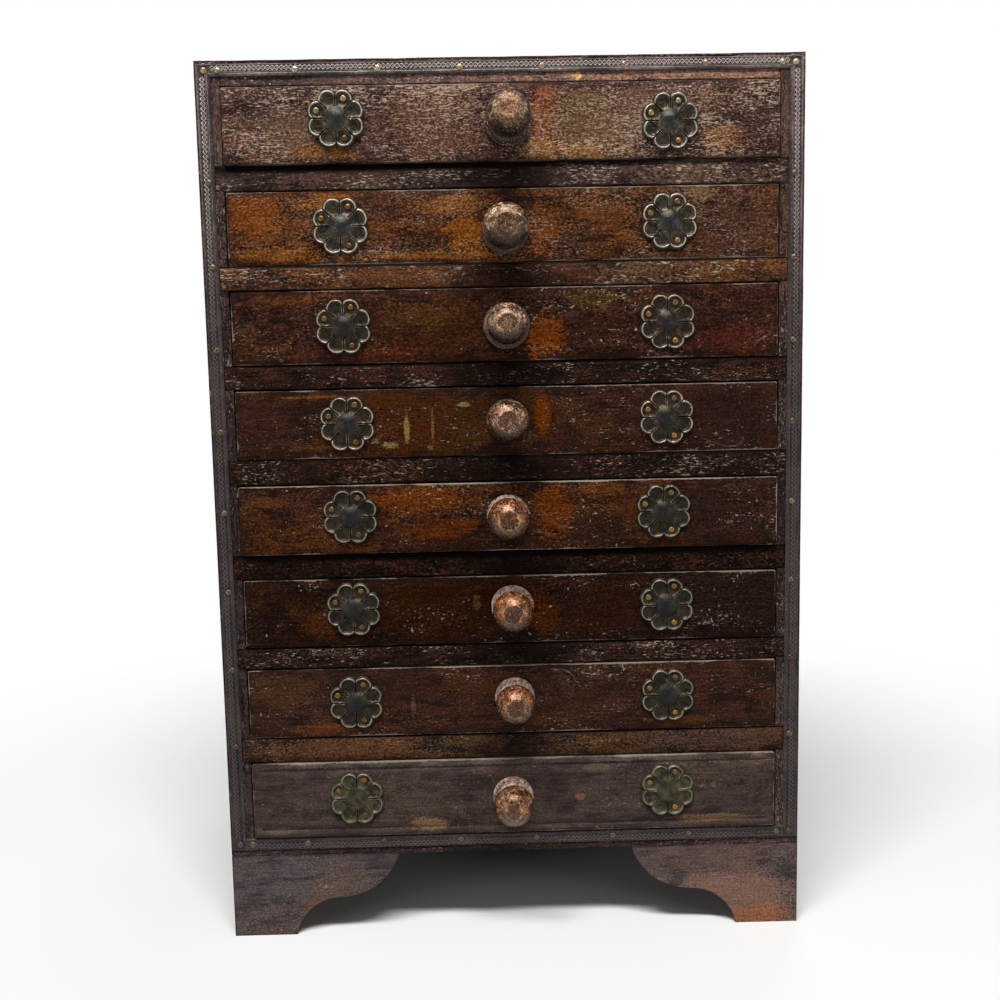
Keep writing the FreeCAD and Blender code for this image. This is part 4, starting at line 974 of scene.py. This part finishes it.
KNOBS = {
    1: {**GREY_KNOB, "collar_radius": 16.6, "head_radius": 14.9, "button": 6.0, "squash": 0.95, "line": 22,
        "disc": 9.4, "head": "785c48", "under": "161113", "inner": "7e5a42", "shine": 0.4,
        "inner_share": 0.8, "ring_share": 0.2, "specks": 0.8, "grain": 0.9},
    2: {**GREY_KNOB, "collar_radius": 16.4, "head_radius": 15.6, "button": 6.6, "squash": 0.92, "line": 20,
        "disc": 8.2, "head": "80624a", "light": "ceb498", "inner": "2c1a0d", "dirt_and_painted_shade": 0.85, "specks": 0.6,
        "grain": 0.85},
    3: {**GREY_KNOB, "collar_radius": 16.2, "head_radius": 14.0, "button": 6.2, "squash": 0.92, "line": 19,
        "disc": 6.2, "head": "7c6048", "light": "c4aa8c", "under": "0c0b0d", "inner": "3c210c",
        "ring": "c4a878", "shine": 0.75, "polish": -0.38, "ring_share": 0.7},
    4: {**GREY_KNOB, "collar_radius": 14.9, "head_radius": 14.4, "button": 6.8, "squash": 0.92, "line": 19,
        "disc": 7.0, "head": "704a32", "light": "b4927a", "inner": "280d04", "shine": 0.75, "polish": -0.38,
        "inner_share": 0.8},
    5: {**GLOSSY_KNOB, "collar_radius": 15.0, "head_radius": 14.4, "button": 6.8, "squash": 0.94,
        "line": 17, "disc": 6.6, "light": "b08c70", "ring_share": 0.5},
    6: {**GLOSSY_KNOB, "collar_radius": 15.2, "head_radius": 14.2, "button": 6.6, "squash": 0.94,
        "line": 17, "disc": 6.4},
    7: {**GLOSSY_KNOB, "collar_radius": 14.4, "head_radius": 13.9, "button": 6.6, "squash": 0.94,
        "line": 17, "disc": 6.2, "head": "5e3217", "light": "a88462", "under": "463931", "inner": "1c0d06"},
    8: {**GLOSSY_KNOB, "collar_radius": 14.9, "head_radius": 14.3, "button": 5.6, "squash": 0.96,
        "line": 14, "disc": 5.2, "head": "5e3c24", "light": "9c7e62", "inner": "33261d",
        "inner_share": 0.6},
}
for n in DRAWERS:
    low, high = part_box(f"drawer_{n}_knob")
    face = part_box(f"drawer_{n}_front")[0].y
    centre = Vector(((low.x + high.x) / 2, face, (low.z + high.z) / 2))
    look = KNOBS[n]
    outline = knob_outline(look["collar_radius"], look["head_radius"], look["squash"], look["button"])
    knob = turned_knob(f"knob_{n}", outline, centre)
    wear_down(knob, hand_work, 0.5 * MM)
    bpy.ops.object.shade_smooth_by_angle(angle=CORNER)
    finish = knob_wood(f"turned_knob_{n}", centre, look, n)
    hand_over(knob, f"drawer_{n}", "knob_wood", finish, f"drawer_{n}_knob")
print("eight knobs of", len(knob.data.polygons), "faces")

# %% [markdown]
# ## Pressed rosettes
#
# A rosette is a disc of tinplate struck in a die: eight petals, each a shallow well with a raised rim,
# a groove between each two rims, and a domed boss in the middle whose skirt sweeps out into the wells.
# It is made as a disc of rings round a middle, and each vertex is then set to the die's height there.
# The height comes from the nearest edge of the petal, so rims and grooves keep their width all round.
# Angles are closest together beside the grooves, where the form turns quickest. On the lowest drawer
# the bosses have been pushed in, and a shallow dish is left.

# %% The die
PETALS = 8
HALF_PETAL = math.pi / PETALS
PETAL_CIRCLE, PETAL_RADIUS = 12.8, 7.2
RING_SHARES = (0.07, 0.15, 0.22, 0.28, 0.335, 0.38, 0.42, 0.46, 0.50, 0.55, 0.61, 0.67, 0.73, 0.785, 0.83,
               0.865, 0.895, 0.92, 0.945, 0.968, 0.985, 1.0)
ANGLE_SHARES = (0.0, 0.28, 0.52, 0.70, 0.81, 0.89, 0.945, 1.0)
RIM_UP, GROOVE_UP, FLOOR_UP, EDGE_UP = 2.6, 1.5, 0.9, 0.8  # millimetres above the drawer front
GROOVE_WALL, EDGE_WALL = 0.55, 1.25  # how wide the rim's wall is beside a groove, and at the outer edge
RIM_END, WELL_START = 1.3, 2.6  # where the rim ends and the well's floor begins, in widths of its wall
BOSS_RADIUS, BOSS_UP, BOSS_FALL = 7.2, 5.1, 2.5
SKIRT_RUN, SKIRT_FALL = 4.0, 1.7
DISH_UP, DISH_RIM, DISH_END = 1.1, 1.3, 10.0  # a boss that was pushed in: its floor, its rim, its end


def smoothstep(low, high, value):
    """A share from 0 to 1 between two limits, eased at both."""
    share = min(1, max(0, (value - low) / (high - low)))
    return share * share * (3 - 2 * share)


def petal_edge(turn):
    """How far the scalloped edge is from the middle, by the turn from a petal's own middle."""
    aside = PETAL_CIRCLE * math.sin(turn)
    return PETAL_CIRCLE * math.cos(turn) + math.sqrt(PETAL_RADIUS ** 2 - aside ** 2)


def die_height(radius, turn, sunken):
    """Height above the drawer front, and a mark: 1 on a crest that gets rubbed bright, -1 on the boss; round
    the boss's skirt the mark is partly a painted highlight.
    """
    from_groove = radius * math.sin(HALF_PETAL - abs(turn))
    x, y = radius * math.cos(turn), radius * math.sin(turn)
    from_edge = PETAL_RADIUS - math.hypot(x - PETAL_CIRCLE, y) if x > PETAL_CIRCLE else PETAL_RADIUS - abs(y)
    from_edge = max(0, from_edge)
    across = from_groove / GROOVE_WALL
    outwards = from_edge / EDGE_WALL
    nearest = min(across, outwards)
    rise_from = EDGE_UP if outwards < across else GROOVE_UP
    wall = rise_from + (RIM_UP - rise_from) * smoothstep(0, 1, nearest)
    well = RIM_UP + (FLOOR_UP - RIM_UP) * smoothstep(RIM_END, WELL_START, nearest)
    petal = wall if nearest < RIM_END else well
    crest = smoothstep(0.2, 0.8, nearest) * smoothstep(2.3, 1.3, nearest)
    if sunken:
        rim = smoothstep(0.5, BOSS_RADIUS, radius) * smoothstep(DISH_END, BOSS_RADIUS, radius)
        dish = DISH_UP + DISH_RIM * rim
        return max(petal, dish) if radius > BOSS_RADIUS else dish, crest * smoothstep(6.5, 8.5, radius)
    if radius < BOSS_RADIUS:
        boss = BOSS_UP - BOSS_FALL * (radius / BOSS_RADIUS) ** 2
    else:
        run = min(1, (radius - BOSS_RADIUS) / SKIRT_RUN)
        boss = BOSS_UP - BOSS_FALL - SKIRT_FALL * (1 - (1 - run) ** 2.5)
    crest *= smoothstep(BOSS_RADIUS, BOSS_RADIUS + 1.2, radius)
    # round the boss's skirt a bright mark: rubbed tin, and partly a painted highlight where the skirt
    # catches the light
    skirt_rub_and_highlight = smoothstep(BOSS_RADIUS - 0.6, BOSS_RADIUS + 0.4, radius) * smoothstep(9.6, 8.0, radius)
    crest = max(crest, 0.45 * skirt_rub_and_highlight) - smoothstep(BOSS_RADIUS + 0.2, BOSS_RADIUS - 1.5, radius)
    return max(petal, boss), crest


print("a petal reaches", petal_edge(0), "mm out, the boss stands", die_height(0, 0, False)[0], "mm up")

# %% A disc, struck by the die
ROUNDED = math.radians(60)
HALF_STEPS = len(ANGLE_SHARES) - 1
SIDES = 2 * PETALS * HALF_STEPS


def rosette_disc(name, sunken):
    """A disc of rings, from a circle that is extruded inwards to nothing, then struck by the die."""
    deselect()
    bpy.ops.mesh.primitive_circle_add(vertices=SIDES, radius=RING_SHARES[-1], fill_type="NOTHING",
                                      location=(0, 0, 0))
    disc = bpy.context.object
    disc.name = name
    bpy.ops.object.mode_set(mode="EDIT")
    bpy.ops.mesh.select_all(action="SELECT")
    for i in range(len(RING_SHARES) - 1, 0, -1):
        factor = RING_SHARES[i - 1] / RING_SHARES[i]
        bpy.ops.mesh.extrude_edges_move()
        bpy.ops.transform.resize(value=(factor, factor, 1), center_override=(0, 0, 0))
    bpy.ops.mesh.edge_face_add()
    bpy.ops.mesh.poke()
    bpy.ops.object.mode_set(mode="OBJECT")
    mesh = disc.data
    crest = mesh.attributes.new("crest", "FLOAT", "POINT")
    edge_ring = set()
    for vertex in mesh.vertices:
        share = vertex.co.length
        step = round(math.atan2(vertex.co.y, vertex.co.x) / math.tau * SIDES)
        petal, within = divmod(step, 2 * HALF_STEPS)
        half = within - HALF_STEPS
        turn = math.copysign(ANGLE_SHARES[abs(half)], half) * HALF_PETAL
        radius = share * petal_edge(turn)
        height, crest.data[vertex.index].value = die_height(radius, turn, sunken)
        angle = turn + HALF_PETAL * (2 * petal + 1)
        vertex.co = (radius * math.cos(angle) * MM, -height * MM, radius * math.sin(angle) * MM)
        if share > 0.999:
            edge_ring.add(vertex.index)
    pick(disc, mesh.vertices, lambda vertex: vertex.index in edge_ring)
    bpy.ops.mesh.select_mode(type="VERT")
    bpy.ops.mesh.extrude_edges_move(TRANSFORM_OT_translate={"value": (0, (EDGE_UP - 0.25) * MM, 0)})
    bpy.ops.transform.resize(value=(1.012, 1, 1.012), center_override=(0, 0, 0))
    bpy.ops.mesh.extrude_edges_move(TRANSFORM_OT_translate={"value": (0, 0.3 * MM, 0)})
    bpy.ops.mesh.edge_face_add()
    bpy.ops.mesh.select_all(action="SELECT")
    bpy.ops.mesh.normals_make_consistent(inside=False)
    bpy.ops.object.mode_set(mode="OBJECT")
    bpy.ops.object.shade_smooth_by_angle(angle=ROUNDED)
    return disc


rosette = rosette_disc("rosette", False)
sunken_rosette = rosette_disc("sunken_rosette", True)
print("rosettes of", len(rosette.data.polygons), "faces")

# %% [markdown]
# ### Tarnished tinplate
#
# Tin goes grey and then black in the hollows, where polish and dust collect with a green-brown tinge, and
# stays silver where a duster rubs. So the colour follows the crests that the die has marked, and a noise
# breaks them up; round the boss's skirt that bright mark is partly a painted highlight. Under the tin the
# boss shows a bluish steel.

# %% The tinplate finish
def tinplate(name, look, seed):
    """Pressed tinplate: bright on its crests, blackened in its hollows."""
    material, tree = new_finish(name)
    in_mm = add(tree, "Mapping", {"Vector": add(tree, "TexCoord", out="Object"), "Scale": TO_MM,
                                  "Location": (seed * 13, seed * 29, seed * 5)})
    blotch = add(tree, "TexNoise", {"Vector": in_mm, "Scale": 0.17, "Detail": 4, "Roughness": 0.6})
    fine = add(tree, "TexNoise", {"Vector": in_mm, "Scale": 1.1, "Detail": 3, "Roughness": 0.65})
    crest = add(tree, "Attribute", out="Fac", attribute_name="crest")
    tarnish = add(tree, "MapRange", {0: blotch, 1: 0.36, 2: 0.62}, **SMOOTH)
    hollow = add(tree, "Mix", {0: tarnish, 6: linear(look["hollow"]), 7: linear(look["stain"])}, 2, **COLOUR)
    on_boss = add(tree, "MapRange", {0: crest, 1: -0.2, 2: -1, 4: 0.75}, **SMOOTH)
    hollow = add(tree, "Mix", {0: on_boss, 6: hollow, 7: linear(look["boss"])}, 2, **COLOUR)
    mark = add(tree, "MapRange", {0: fine, 1: 0.5, 2: 0.7, 4: 0.45}, **SMOOTH)
    hollow = add(tree, "Mix", {0: mark, 6: hollow, 7: linear(look["dust"])}, 2, **COLOUR)
    ragged = add(tree, "Math", {0: fine, 1: 1.0, 2: crest}, operation="MULTIPLY_ADD")
    ragged = add(tree, "Math", {0: blotch, 1: 0.8, 2: ragged}, operation="MULTIPLY_ADD")
    bright = add(tree, "MapRange", {0: ragged, 1: 1.3, 2: 2.1, 4: look["bright_share"]}, **SMOOTH)
    colour = add(tree, "Mix", {0: bright, 6: hollow, 7: linear(look["bright"])}, 2, **COLOUR)
    metal = add(tree, "Math", {0: bright, 1: -0.35, 2: 0.85}, operation="MULTIPLY_ADD")
    gloss = add(tree, "Math", {0: bright, 1: -0.12, 2: look["rough"]}, operation="MULTIPLY_ADD")
    gloss = add(tree, "Math", {0: fine, 1: 0.25, 2: gloss}, operation="MULTIPLY_ADD")
    relief = add(tree, "Bump", {"Strength": 0.5, "Distance": 0.2 * MM, "Height": fine})
    add(tree, "OutputMaterial", {0: add(tree, "BsdfPrincipled", {
        "Base Color": colour, "Metallic": metal, "Roughness": gloss, "Normal": relief})})
    return material


print("tinplate ready")

# %% Sixteen rosettes
TIN_LOOKS = {
    "silver": {"hollow": "1e1d19", "stain": "3f3629", "dust": "776d5b", "bright": "b4a99a",
               "bright_share": 0.95, "rough": 0.32, "boss": "22262a"},
    "brown": {"hollow": "181611", "stain": "32281b", "dust": "5e5342", "bright": "a69686",
              "bright_share": 0.9, "rough": 0.34, "boss": "1b1d20"},
    "olive": {"hollow": "171712", "stain": "30291d", "dust": "4c4535", "bright": "8e8572",
              "bright_share": 0.75, "rough": 0.36, "boss": "191d20"},
    "pushed in": {"hollow": "232119", "stain": "474230", "dust": "676049", "bright": "857e6a",
                  "bright_share": 0.6, "rough": 0.4, "boss": "1a1e20"},
}
TIN_KINDS = ("silver", "silver", "brown", "brown", "olive", "olive", "olive", "pushed in")  # from the top
tin_dents = lumps("dented", 9 * MM, 1)
for n, kind in zip(DRAWERS, TIN_KINDS):
    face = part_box(f"drawer_{n}_front")[0].y
    struck = sunken_rosette if kind == "pushed in" else rosette
    boxes = parts_of(f"drawer_{n}_rosettes")
    for seed, side, (low, high) in zip((2 * n - 1, 2 * n), ("left", "right"), boxes):
        copy = twin(struck, f"rosette_{n}_{side}")
        bpy.ops.object.mode_set(mode="EDIT")
        bpy.ops.mesh.select_all(action="SELECT")
        bpy.ops.transform.translate(value=((low.x + high.x) / 2, face, (low.z + high.z) / 2))
        bpy.ops.object.mode_set(mode="OBJECT")
        wear_down(copy, tin_dents, 0.35 * MM)
        finish = tinplate(f"tinplate_{n}_{side}", TIN_LOOKS[kind], seed)
        hand_over(copy, f"drawer_{n}", "rosette_metal", finish, f"drawer_{n}_rosettes")
bpy.data.objects.remove(rosette)
bpy.data.objects.remove(sunken_rosette)
print("sixteen rosettes")

# %% [markdown]
# ## Pressed edging
#
# A strip like this is rolled from thin metal: a raised edge, a band with a running chain of two
# strands, a fine line, and a plump roll along the inner side. The mouldings are a picture frame: one
# face, inset again and again with a thickness across and a depth out, which mitres the corners by
# itself. The chain is one link of two crossing strands, repeated by an array along each side.

# %% The moulded frame
strip_low, strip_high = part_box("edge_strips")
STRIP_FRONT = strip_low.y
STRIP_WIDTH = 8.4
WIDER_UPRIGHTS = 1.2  # the upright strips have a broader plain edge on their outer side
SEAT = 0.9  # the construction's strip is this thick, so the wood is this far behind its front
MOULDING = (  # across, and how far out of the wood at the end of the step, in millimetres
    (0.12, 0.60), (0.25, 0.80), (0.25, 0.62), (0.22, 0.28),  # the raised edge
    (3.95, 0.28),  # the band for the chain
    (0.2, 0.62), (0.22, 0.62), (0.2, 0.28), (0.25, 0.30),  # the fine line
    (0.25, 0.62), (0.45, 0.82), (0.55, 0.89), (0.55, 0.82), (0.45, 0.60), (0.34, 0.02),  # the plump roll
)


def edging(name):
    """The mouldings of all four sides as one frame, closed behind."""
    deselect()
    bpy.ops.mesh.primitive_plane_add(size=1, location=(0, 0, 0))
    piece = bpy.context.object
    piece.name = name
    wide, high = strip_high.x - strip_low.x, strip_high.z - strip_low.z
    bpy.ops.object.mode_set(mode="EDIT")
    bpy.ops.mesh.select_all(action="SELECT")
    bpy.ops.transform.resize(value=(wide, high, 1), center_override=(0, 0, 0))
    turn = Matrix.Rotation(math.pi / 2, 4, "X")
    bpy.ops.object.mode_set(mode="OBJECT")
    piece.data.transform(Matrix.Translation(((strip_low.x + strip_high.x) / 2, STRIP_FRONT + SEAT * MM,
                                             (strip_low.z + strip_high.z) / 2)) @ turn)
    bpy.ops.object.mode_set(mode="EDIT")
    bpy.ops.mesh.select_all(action="SELECT")
    out = 0
    for across, next_out in MOULDING:
        bpy.ops.mesh.inset(thickness=across * MM, depth=(next_out - out) * MM)
        out = next_out
    bpy.ops.mesh.delete(type="ONLY_FACE")
    bpy.ops.mesh.select_all(action="DESELECT")
    bpy.ops.mesh.select_non_manifold(extend=False)
    bpy.ops.mesh.bridge_edge_loops()
    bpy.ops.mesh.select_all(action="SELECT")
    bpy.ops.mesh.normals_make_consistent(inside=False)
    bpy.ops.object.mode_set(mode="OBJECT")
    crest = piece.data.attributes.new("crest", "FLOAT", "POINT")
    for vertex in piece.data.vertices:
        if abs(vertex.co.x) > wide / 2 - 0.7 * MM:
            vertex.co.x += math.copysign(WIDER_UPRIGHTS * MM, vertex.co.x)
        stand_off = (STRIP_FRONT + SEAT * MM - vertex.co.y) / MM
        crest.data[vertex.index].value = 0.45 if 0.6 < stand_off < 0.81 else 0.2 * stand_off
    return piece


frame_moulding = edging("edging")
print("moulding", len(frame_moulding.data.polygons), "faces")

# %% One link of the chain
LINK = 6.2
STRAND_SWING, STRAND_HALF, STRAND_UP = 1.4, 0.62, 0.50
STEPS = 8
CHAIN_FLOOR = 0.26
CHAIN_LINE = 0.84 + 3.95 / 2  # from the strip's outer edge to the middle of the band


def strand(side):
    """A ridge that swings across the band and back: a narrow grid, set to its wave row by row."""
    deselect()
    bpy.ops.mesh.primitive_grid_add(x_subdivisions=STEPS, y_subdivisions=3, size=2, location=(0, 0, 0))
    piece = bpy.context.object
    crest = piece.data.attributes.new("crest", "FLOAT", "POINT")
    for vertex in piece.data.vertices:
        crest.data[vertex.index].value = 1.0 if abs(vertex.co.y) < 0.5 else 0.1
        run = (vertex.co.x + 1) / 2 * LINK
        swing = side * STRAND_SWING * math.sin(math.tau * run / LINK)
        over = 1 + 0.3 * side * math.cos(math.tau * run / LINK)
        on_ridge = abs(vertex.co.y) < 0.5
        ridge = STRAND_UP * over if on_ridge else 0
        aside = vertex.co.y * STRAND_HALF * (1.6 if on_ridge else 1)
        vertex.co = (run * MM, (swing + aside) * MM, (CHAIN_FLOOR + ridge) * MM)
    return piece


def pip(along, across):
    """A small raised point in an eye of the chain."""
    bpy.ops.mesh.primitive_cone_add(vertices=6, radius1=0.42 * MM, radius2=0, depth=0.4 * MM,
                                    end_fill_type="NOTHING", location=(0, 0, 0))
    piece = bpy.context.object
    piece.data.transform(Matrix.Translation((along * MM, across * MM, (CHAIN_FLOOR + 0.2) * MM)))
    crest = piece.data.attributes.new("crest", "FLOAT", "POINT")
    for vertex in piece.data.vertices:
        crest.data[vertex.index].value = 0.7
    return piece


take_up(strand(1), strand(-1), pip(LINK / 4, 0), pip(3 * LINK / 4, 0))
bpy.ops.object.join()
link = bpy.context.object
link.name = "chain_link"
print("a link", LINK, "mm long has", len(link.data.polygons), "faces")

# %% Chain along the four sides
half_wide = (strip_high.x - strip_low.x) / 2
half_high = (strip_high.z - strip_low.z) / 2
middle_point = (strip_low + strip_high) / 2
chains = []
for side, turn, length, reach in (("top", 0, half_wide, half_high), ("right", -90, half_high, half_wide),
                                  ("bottom", 180, half_wide, half_high), ("left", 90, half_high, half_wide)):
    run = 2 * (length - STRIP_WIDTH * MM)
    count = round(run / (LINK * MM))
    chain = twin(link, "chain_" + side)
    row = chain.modifiers.new("row", "ARRAY")
    row.count, row.use_relative_offset, row.use_constant_offset = count, False, True
    row.constant_offset_displace = (LINK * MM, 0, 0)
    bpy.ops.object.modifier_apply(modifier=row.name)
    fitted = Matrix.Diagonal((run / (count * LINK * MM), 1, 1, 1))
    across = Matrix.Translation((-run / 2, reach - CHAIN_LINE * MM, 0))
    stand_up = Matrix.Rotation(math.pi / 2, 4, "X")
    turned = Matrix.Rotation(math.radians(turn), 4, "Z")
    place = Matrix.Translation((middle_point.x, STRIP_FRONT + SEAT * MM, middle_point.z))
    chain.data.transform(place @ stand_up @ turned @ across @ fitted)
    chains.append(chain)
bpy.data.objects.remove(link)
take_up(frame_moulding, *chains)
bpy.ops.object.join()
print("edging with its chain", len(frame_moulding.data.polygons), "faces")

# %% [markdown]
# ### Blackened edging
#
# The strips are the same tinplate, gone nearly black with smoke and polish. Only what stands highest has
# been rubbed: the chain's ridges glint grey, and there is brown dirt between them. Each vertex was marked
# when it was made by how much its place is rubbed. Towards the top the strips are painted lighter, hollows
# and crests both: a painted light that falls off downwards.

# %% The edging's finish
strip_finish, tree = new_finish("blackened_tinplate")
in_mm = add(tree, "Mapping", {"Vector": add(tree, "TexCoord", out="Object"), "Scale": TO_MM})
crest = add(tree, "Attribute", out="Fac", attribute_name="crest")
up = add(tree, "SeparateXYZ", {0: in_mm}, "Z")
blotch = add(tree, "TexNoise", {"Vector": in_mm, "Scale": 0.045, "Detail": 4, "Roughness": 0.6})
fine = add(tree, "TexNoise", {"Vector": in_mm, "Scale": 0.9, "Detail": 3, "Roughness": 0.65})
brown = add(tree, "MapRange", {0: blotch, 1: 0.4, 2: 0.6}, **SMOOTH)
hollow = add(tree, "Mix", {0: brown, 6: linear("1c1718"), 7: linear("302827")}, 2, **COLOUR)
high_up = add(tree, "Mix", {0: brown, 6: linear("271f20"), 7: linear("443531")}, 2, **COLOUR)
# painted light: the hollows turn lighter towards the top, as the light falls off downwards
near_top = add(tree, "MapRange", {0: up, 1: 300, 2: 560}, **SMOOTH)
hollow = add(tree, "Mix", {0: near_top, 6: hollow, 7: high_up}, 2, **COLOUR)
dust = add(tree, "MapRange", {0: fine, 1: 0.54, 2: 0.70, 4: 0.45}, **SMOOTH)
hollow = add(tree, "Mix", {0: dust, 6: hollow, 7: linear("7a6c62")}, 2, **COLOUR)
# painted highlight: more of the crests turn bright towards the top
near_top = add(tree, "Math", {0: near_top, 1: 0.3}, operation="MULTIPLY")
ragged = add(tree, "Math", {0: fine, 1: 0.5, 2: crest}, operation="MULTIPLY_ADD")
ragged = add(tree, "Math", {0: blotch, 1: 0.6, 2: ragged}, operation="MULTIPLY_ADD")
ragged = add(tree, "Math", {0: ragged, 1: near_top}, operation="ADD")
bright = add(tree, "MapRange", {0: ragged, 1: 0.95, 2: 1.6, 4: 0.9}, **SMOOTH)
# painted highlight: the crests' colour goes from dull grey low down to pale near the top
crest_colour = add(tree, "Mix", {0: add(tree, "MapRange", {0: up, 1: 400, 2: 600}, **SMOOTH),
                                 6: linear("5c4f4c"), 7: linear("b2a5a0")}, 2, **COLOUR)
metal = add(tree, "Math", {0: bright, 1: 0.55, 2: 0.1}, operation="MULTIPLY_ADD")
colour = add(tree, "Mix", {0: bright, 6: hollow, 7: crest_colour}, 2, **COLOUR)
relief = add(tree, "Bump", {"Strength": 0.8, "Distance": 0.35 * MM, "Height": fine})
add(tree, "OutputMaterial", {0: add(tree, "BsdfPrincipled", {
    "Base Color": colour, "Metallic": metal, "Specular IOR Level": 0.3,
    "Roughness": add(tree, "Math", {0: fine, 1: 0.3, 2: 0.3}, operation="MULTIPLY_ADD"), "Normal": relief})})
take_up(frame_moulding)
bpy.ops.object.shade_smooth_by_angle(angle=math.radians(50))
hand_over(frame_moulding, "cabinet", "strip_metal", strip_finish, "edge_strips")
print("edging dressed in", strip_finish.name)

# %% [markdown]
# ## Tacks and pins
#
# The strips are held by small round-headed brass tacks, the rosettes by pins. Both are cast or struck
# with a domed head. One head is a disc that is extruded and resized ring by ring, and it is copied to
# each place that the construction gives. No nail is driven quite straight, so each copy is tipped and
# turned a little.

# %% Domed heads
HEAD_SIDES = 14
DOME = ((0.25, 1.0), (0.5, 0.93), (0.72, 0.78), (0.9, 0.5), (0.98, 0.22))  # shares of height and radius
luck = random.Random(7)


def domed_head(radius, height):
    """A low dome from a circle, extruded and resized ring by ring, standing on a short straight rim."""
    deselect()
    bpy.ops.mesh.primitive_circle_add(vertices=HEAD_SIDES, radius=radius, fill_type="NOTHING",
                                      location=(0, 0, 0))
    piece = bpy.context.object
    bpy.ops.object.mode_set(mode="EDIT")
    bpy.ops.mesh.select_all(action="SELECT")
    level, size = -0.3 * height, 1.0
    bpy.ops.transform.translate(value=(0, 0, level))
    for next_level, next_size in DOME:
        rise = next_level * height - level
        bpy.ops.mesh.extrude_edges_move(TRANSFORM_OT_translate={"value": (0, 0, rise)})
        bpy.ops.transform.resize(value=(next_size / size, next_size / size, 1), center_override=(0, 0, 0))
        level, size = next_level * height, next_size
    bpy.ops.mesh.edge_face_add()
    bpy.ops.mesh.select_all(action="SELECT")
    bpy.ops.mesh.normals_make_consistent(inside=False)
    bpy.ops.object.mode_set(mode="OBJECT")
    return piece


def tipped():
    """A small tip to either side, and a head a little smaller than the rest, by luck."""
    aside = Matrix.Rotation(math.radians(luck.uniform(-7, 7)), 4, "X")
    forwards = Matrix.Rotation(math.radians(luck.uniform(-7, 7)), 4, "Y")
    size = luck.uniform(0.93, 1.0)
    return aside @ forwards @ Matrix.Diagonal((size, size, 1, 1))


def set_heads(name, boxes, radius, height, front):
    """One copy of a domed head at the middle of each box, joined into one piece."""
    head = domed_head(radius, height)
    copies = []
    for low, high in boxes:
        copy = twin(head, "head_copy")
        place = Matrix.Translation(((low.x + high.x) / 2, front + height, (low.z + high.z) / 2))
        copy.data.transform(place @ Matrix.Rotation(math.pi / 2, 4, "X") @ tipped())
        copies.append(copy)
    bpy.data.objects.remove(head)
    take_up(*copies)
    bpy.ops.object.join()
    heads = bpy.context.object
    heads.name = name
    keep_in_width(heads)
    bpy.ops.object.shade_smooth_by_angle(angle=ROUNDED)
    return heads


print("a head has", HEAD_SIDES, "sides and", len(DOME), "rings")

# %% The nails' finish: cast brass, gone dull and brown in places, each head in its own way
BRIGHT_FROM, BRIGHT_TO = 560, 600  # the height above the ground over which the nails turn bright


def cast_brass(name, dullest, dull):
    """Old cast brass: bright high up, and dull between two colours lower down."""
    material, tree = new_finish(name)
    in_mm = add(tree, "Mapping", {"Vector": add(tree, "TexCoord", out="Object"), "Scale": TO_MM})
    each = add(tree, "NewGeometry", out="Random Per Island")
    fine = add(tree, "TexNoise", {"Vector": in_mm, "Scale": 0.9, "Detail": 3, "Roughness": 0.6})
    base = add(tree, "Mix", {0: each, 6: linear("8c7656"), 7: linear("ccbc9c")}, 2, **COLOUR)
    dull = add(tree, "Mix", {0: each, 6: linear(dullest), 7: linear(dull)}, 2, **COLOUR)
    high_up = add(tree, "SeparateXYZ", {0: in_mm}, "Z")
    high_up = add(tree, "MapRange", {0: high_up, 1: BRIGHT_FROM, 2: BRIGHT_TO}, **SMOOTH)
    base = add(tree, "Mix", {0: high_up, 6: dull, 7: base}, 2, **COLOUR)
    dirty = add(tree, "MapRange", {0: fine, 1: 0.45, 2: 0.68, 4: 0.7}, **SMOOTH)
    colour = add(tree, "Mix", {0: dirty, 6: base, 7: linear("3a2a1c")}, 2, **COLOUR)
    relief = add(tree, "Bump", {"Strength": 0.5, "Distance": 0.15 * MM, "Height": fine})
    add(tree, "OutputMaterial", {0: add(tree, "BsdfPrincipled", {
        "Base Color": colour, "Metallic": 0.8, "Roughness": 0.42, "Normal": relief})})
    return material


tack_brass = cast_brass("dull_cast_brass", "40342a", "6e6250")
pin_brass = cast_brass("browned_cast_brass", "4c341a", "8c6c38")
print("nails of", tack_brass.name, "and", pin_brass.name)

# %% Tacks in the strips, pins in the rosettes
tack_boxes = parts_of("strip_tacks")
tacks = set_heads("tacks", tack_boxes, 2.2 * MM, 1.0 * MM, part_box("strip_tacks")[0].y)
hand_over(tacks, "cabinet", "nail_brass", tack_brass, "strip_tacks")
for n in DRAWERS:
    node = f"drawer_{n}_pins"
    pins = set_heads(f"pins_{n}", parts_of(node), 2.1 * MM, 0.8 * MM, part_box(node)[0].y)
    hand_over(pins, f"drawer_{n}", "nail_brass", pin_brass, node)
print(len(tack_boxes), "tacks")

# %% Sizes of the dressed object
low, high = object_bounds()
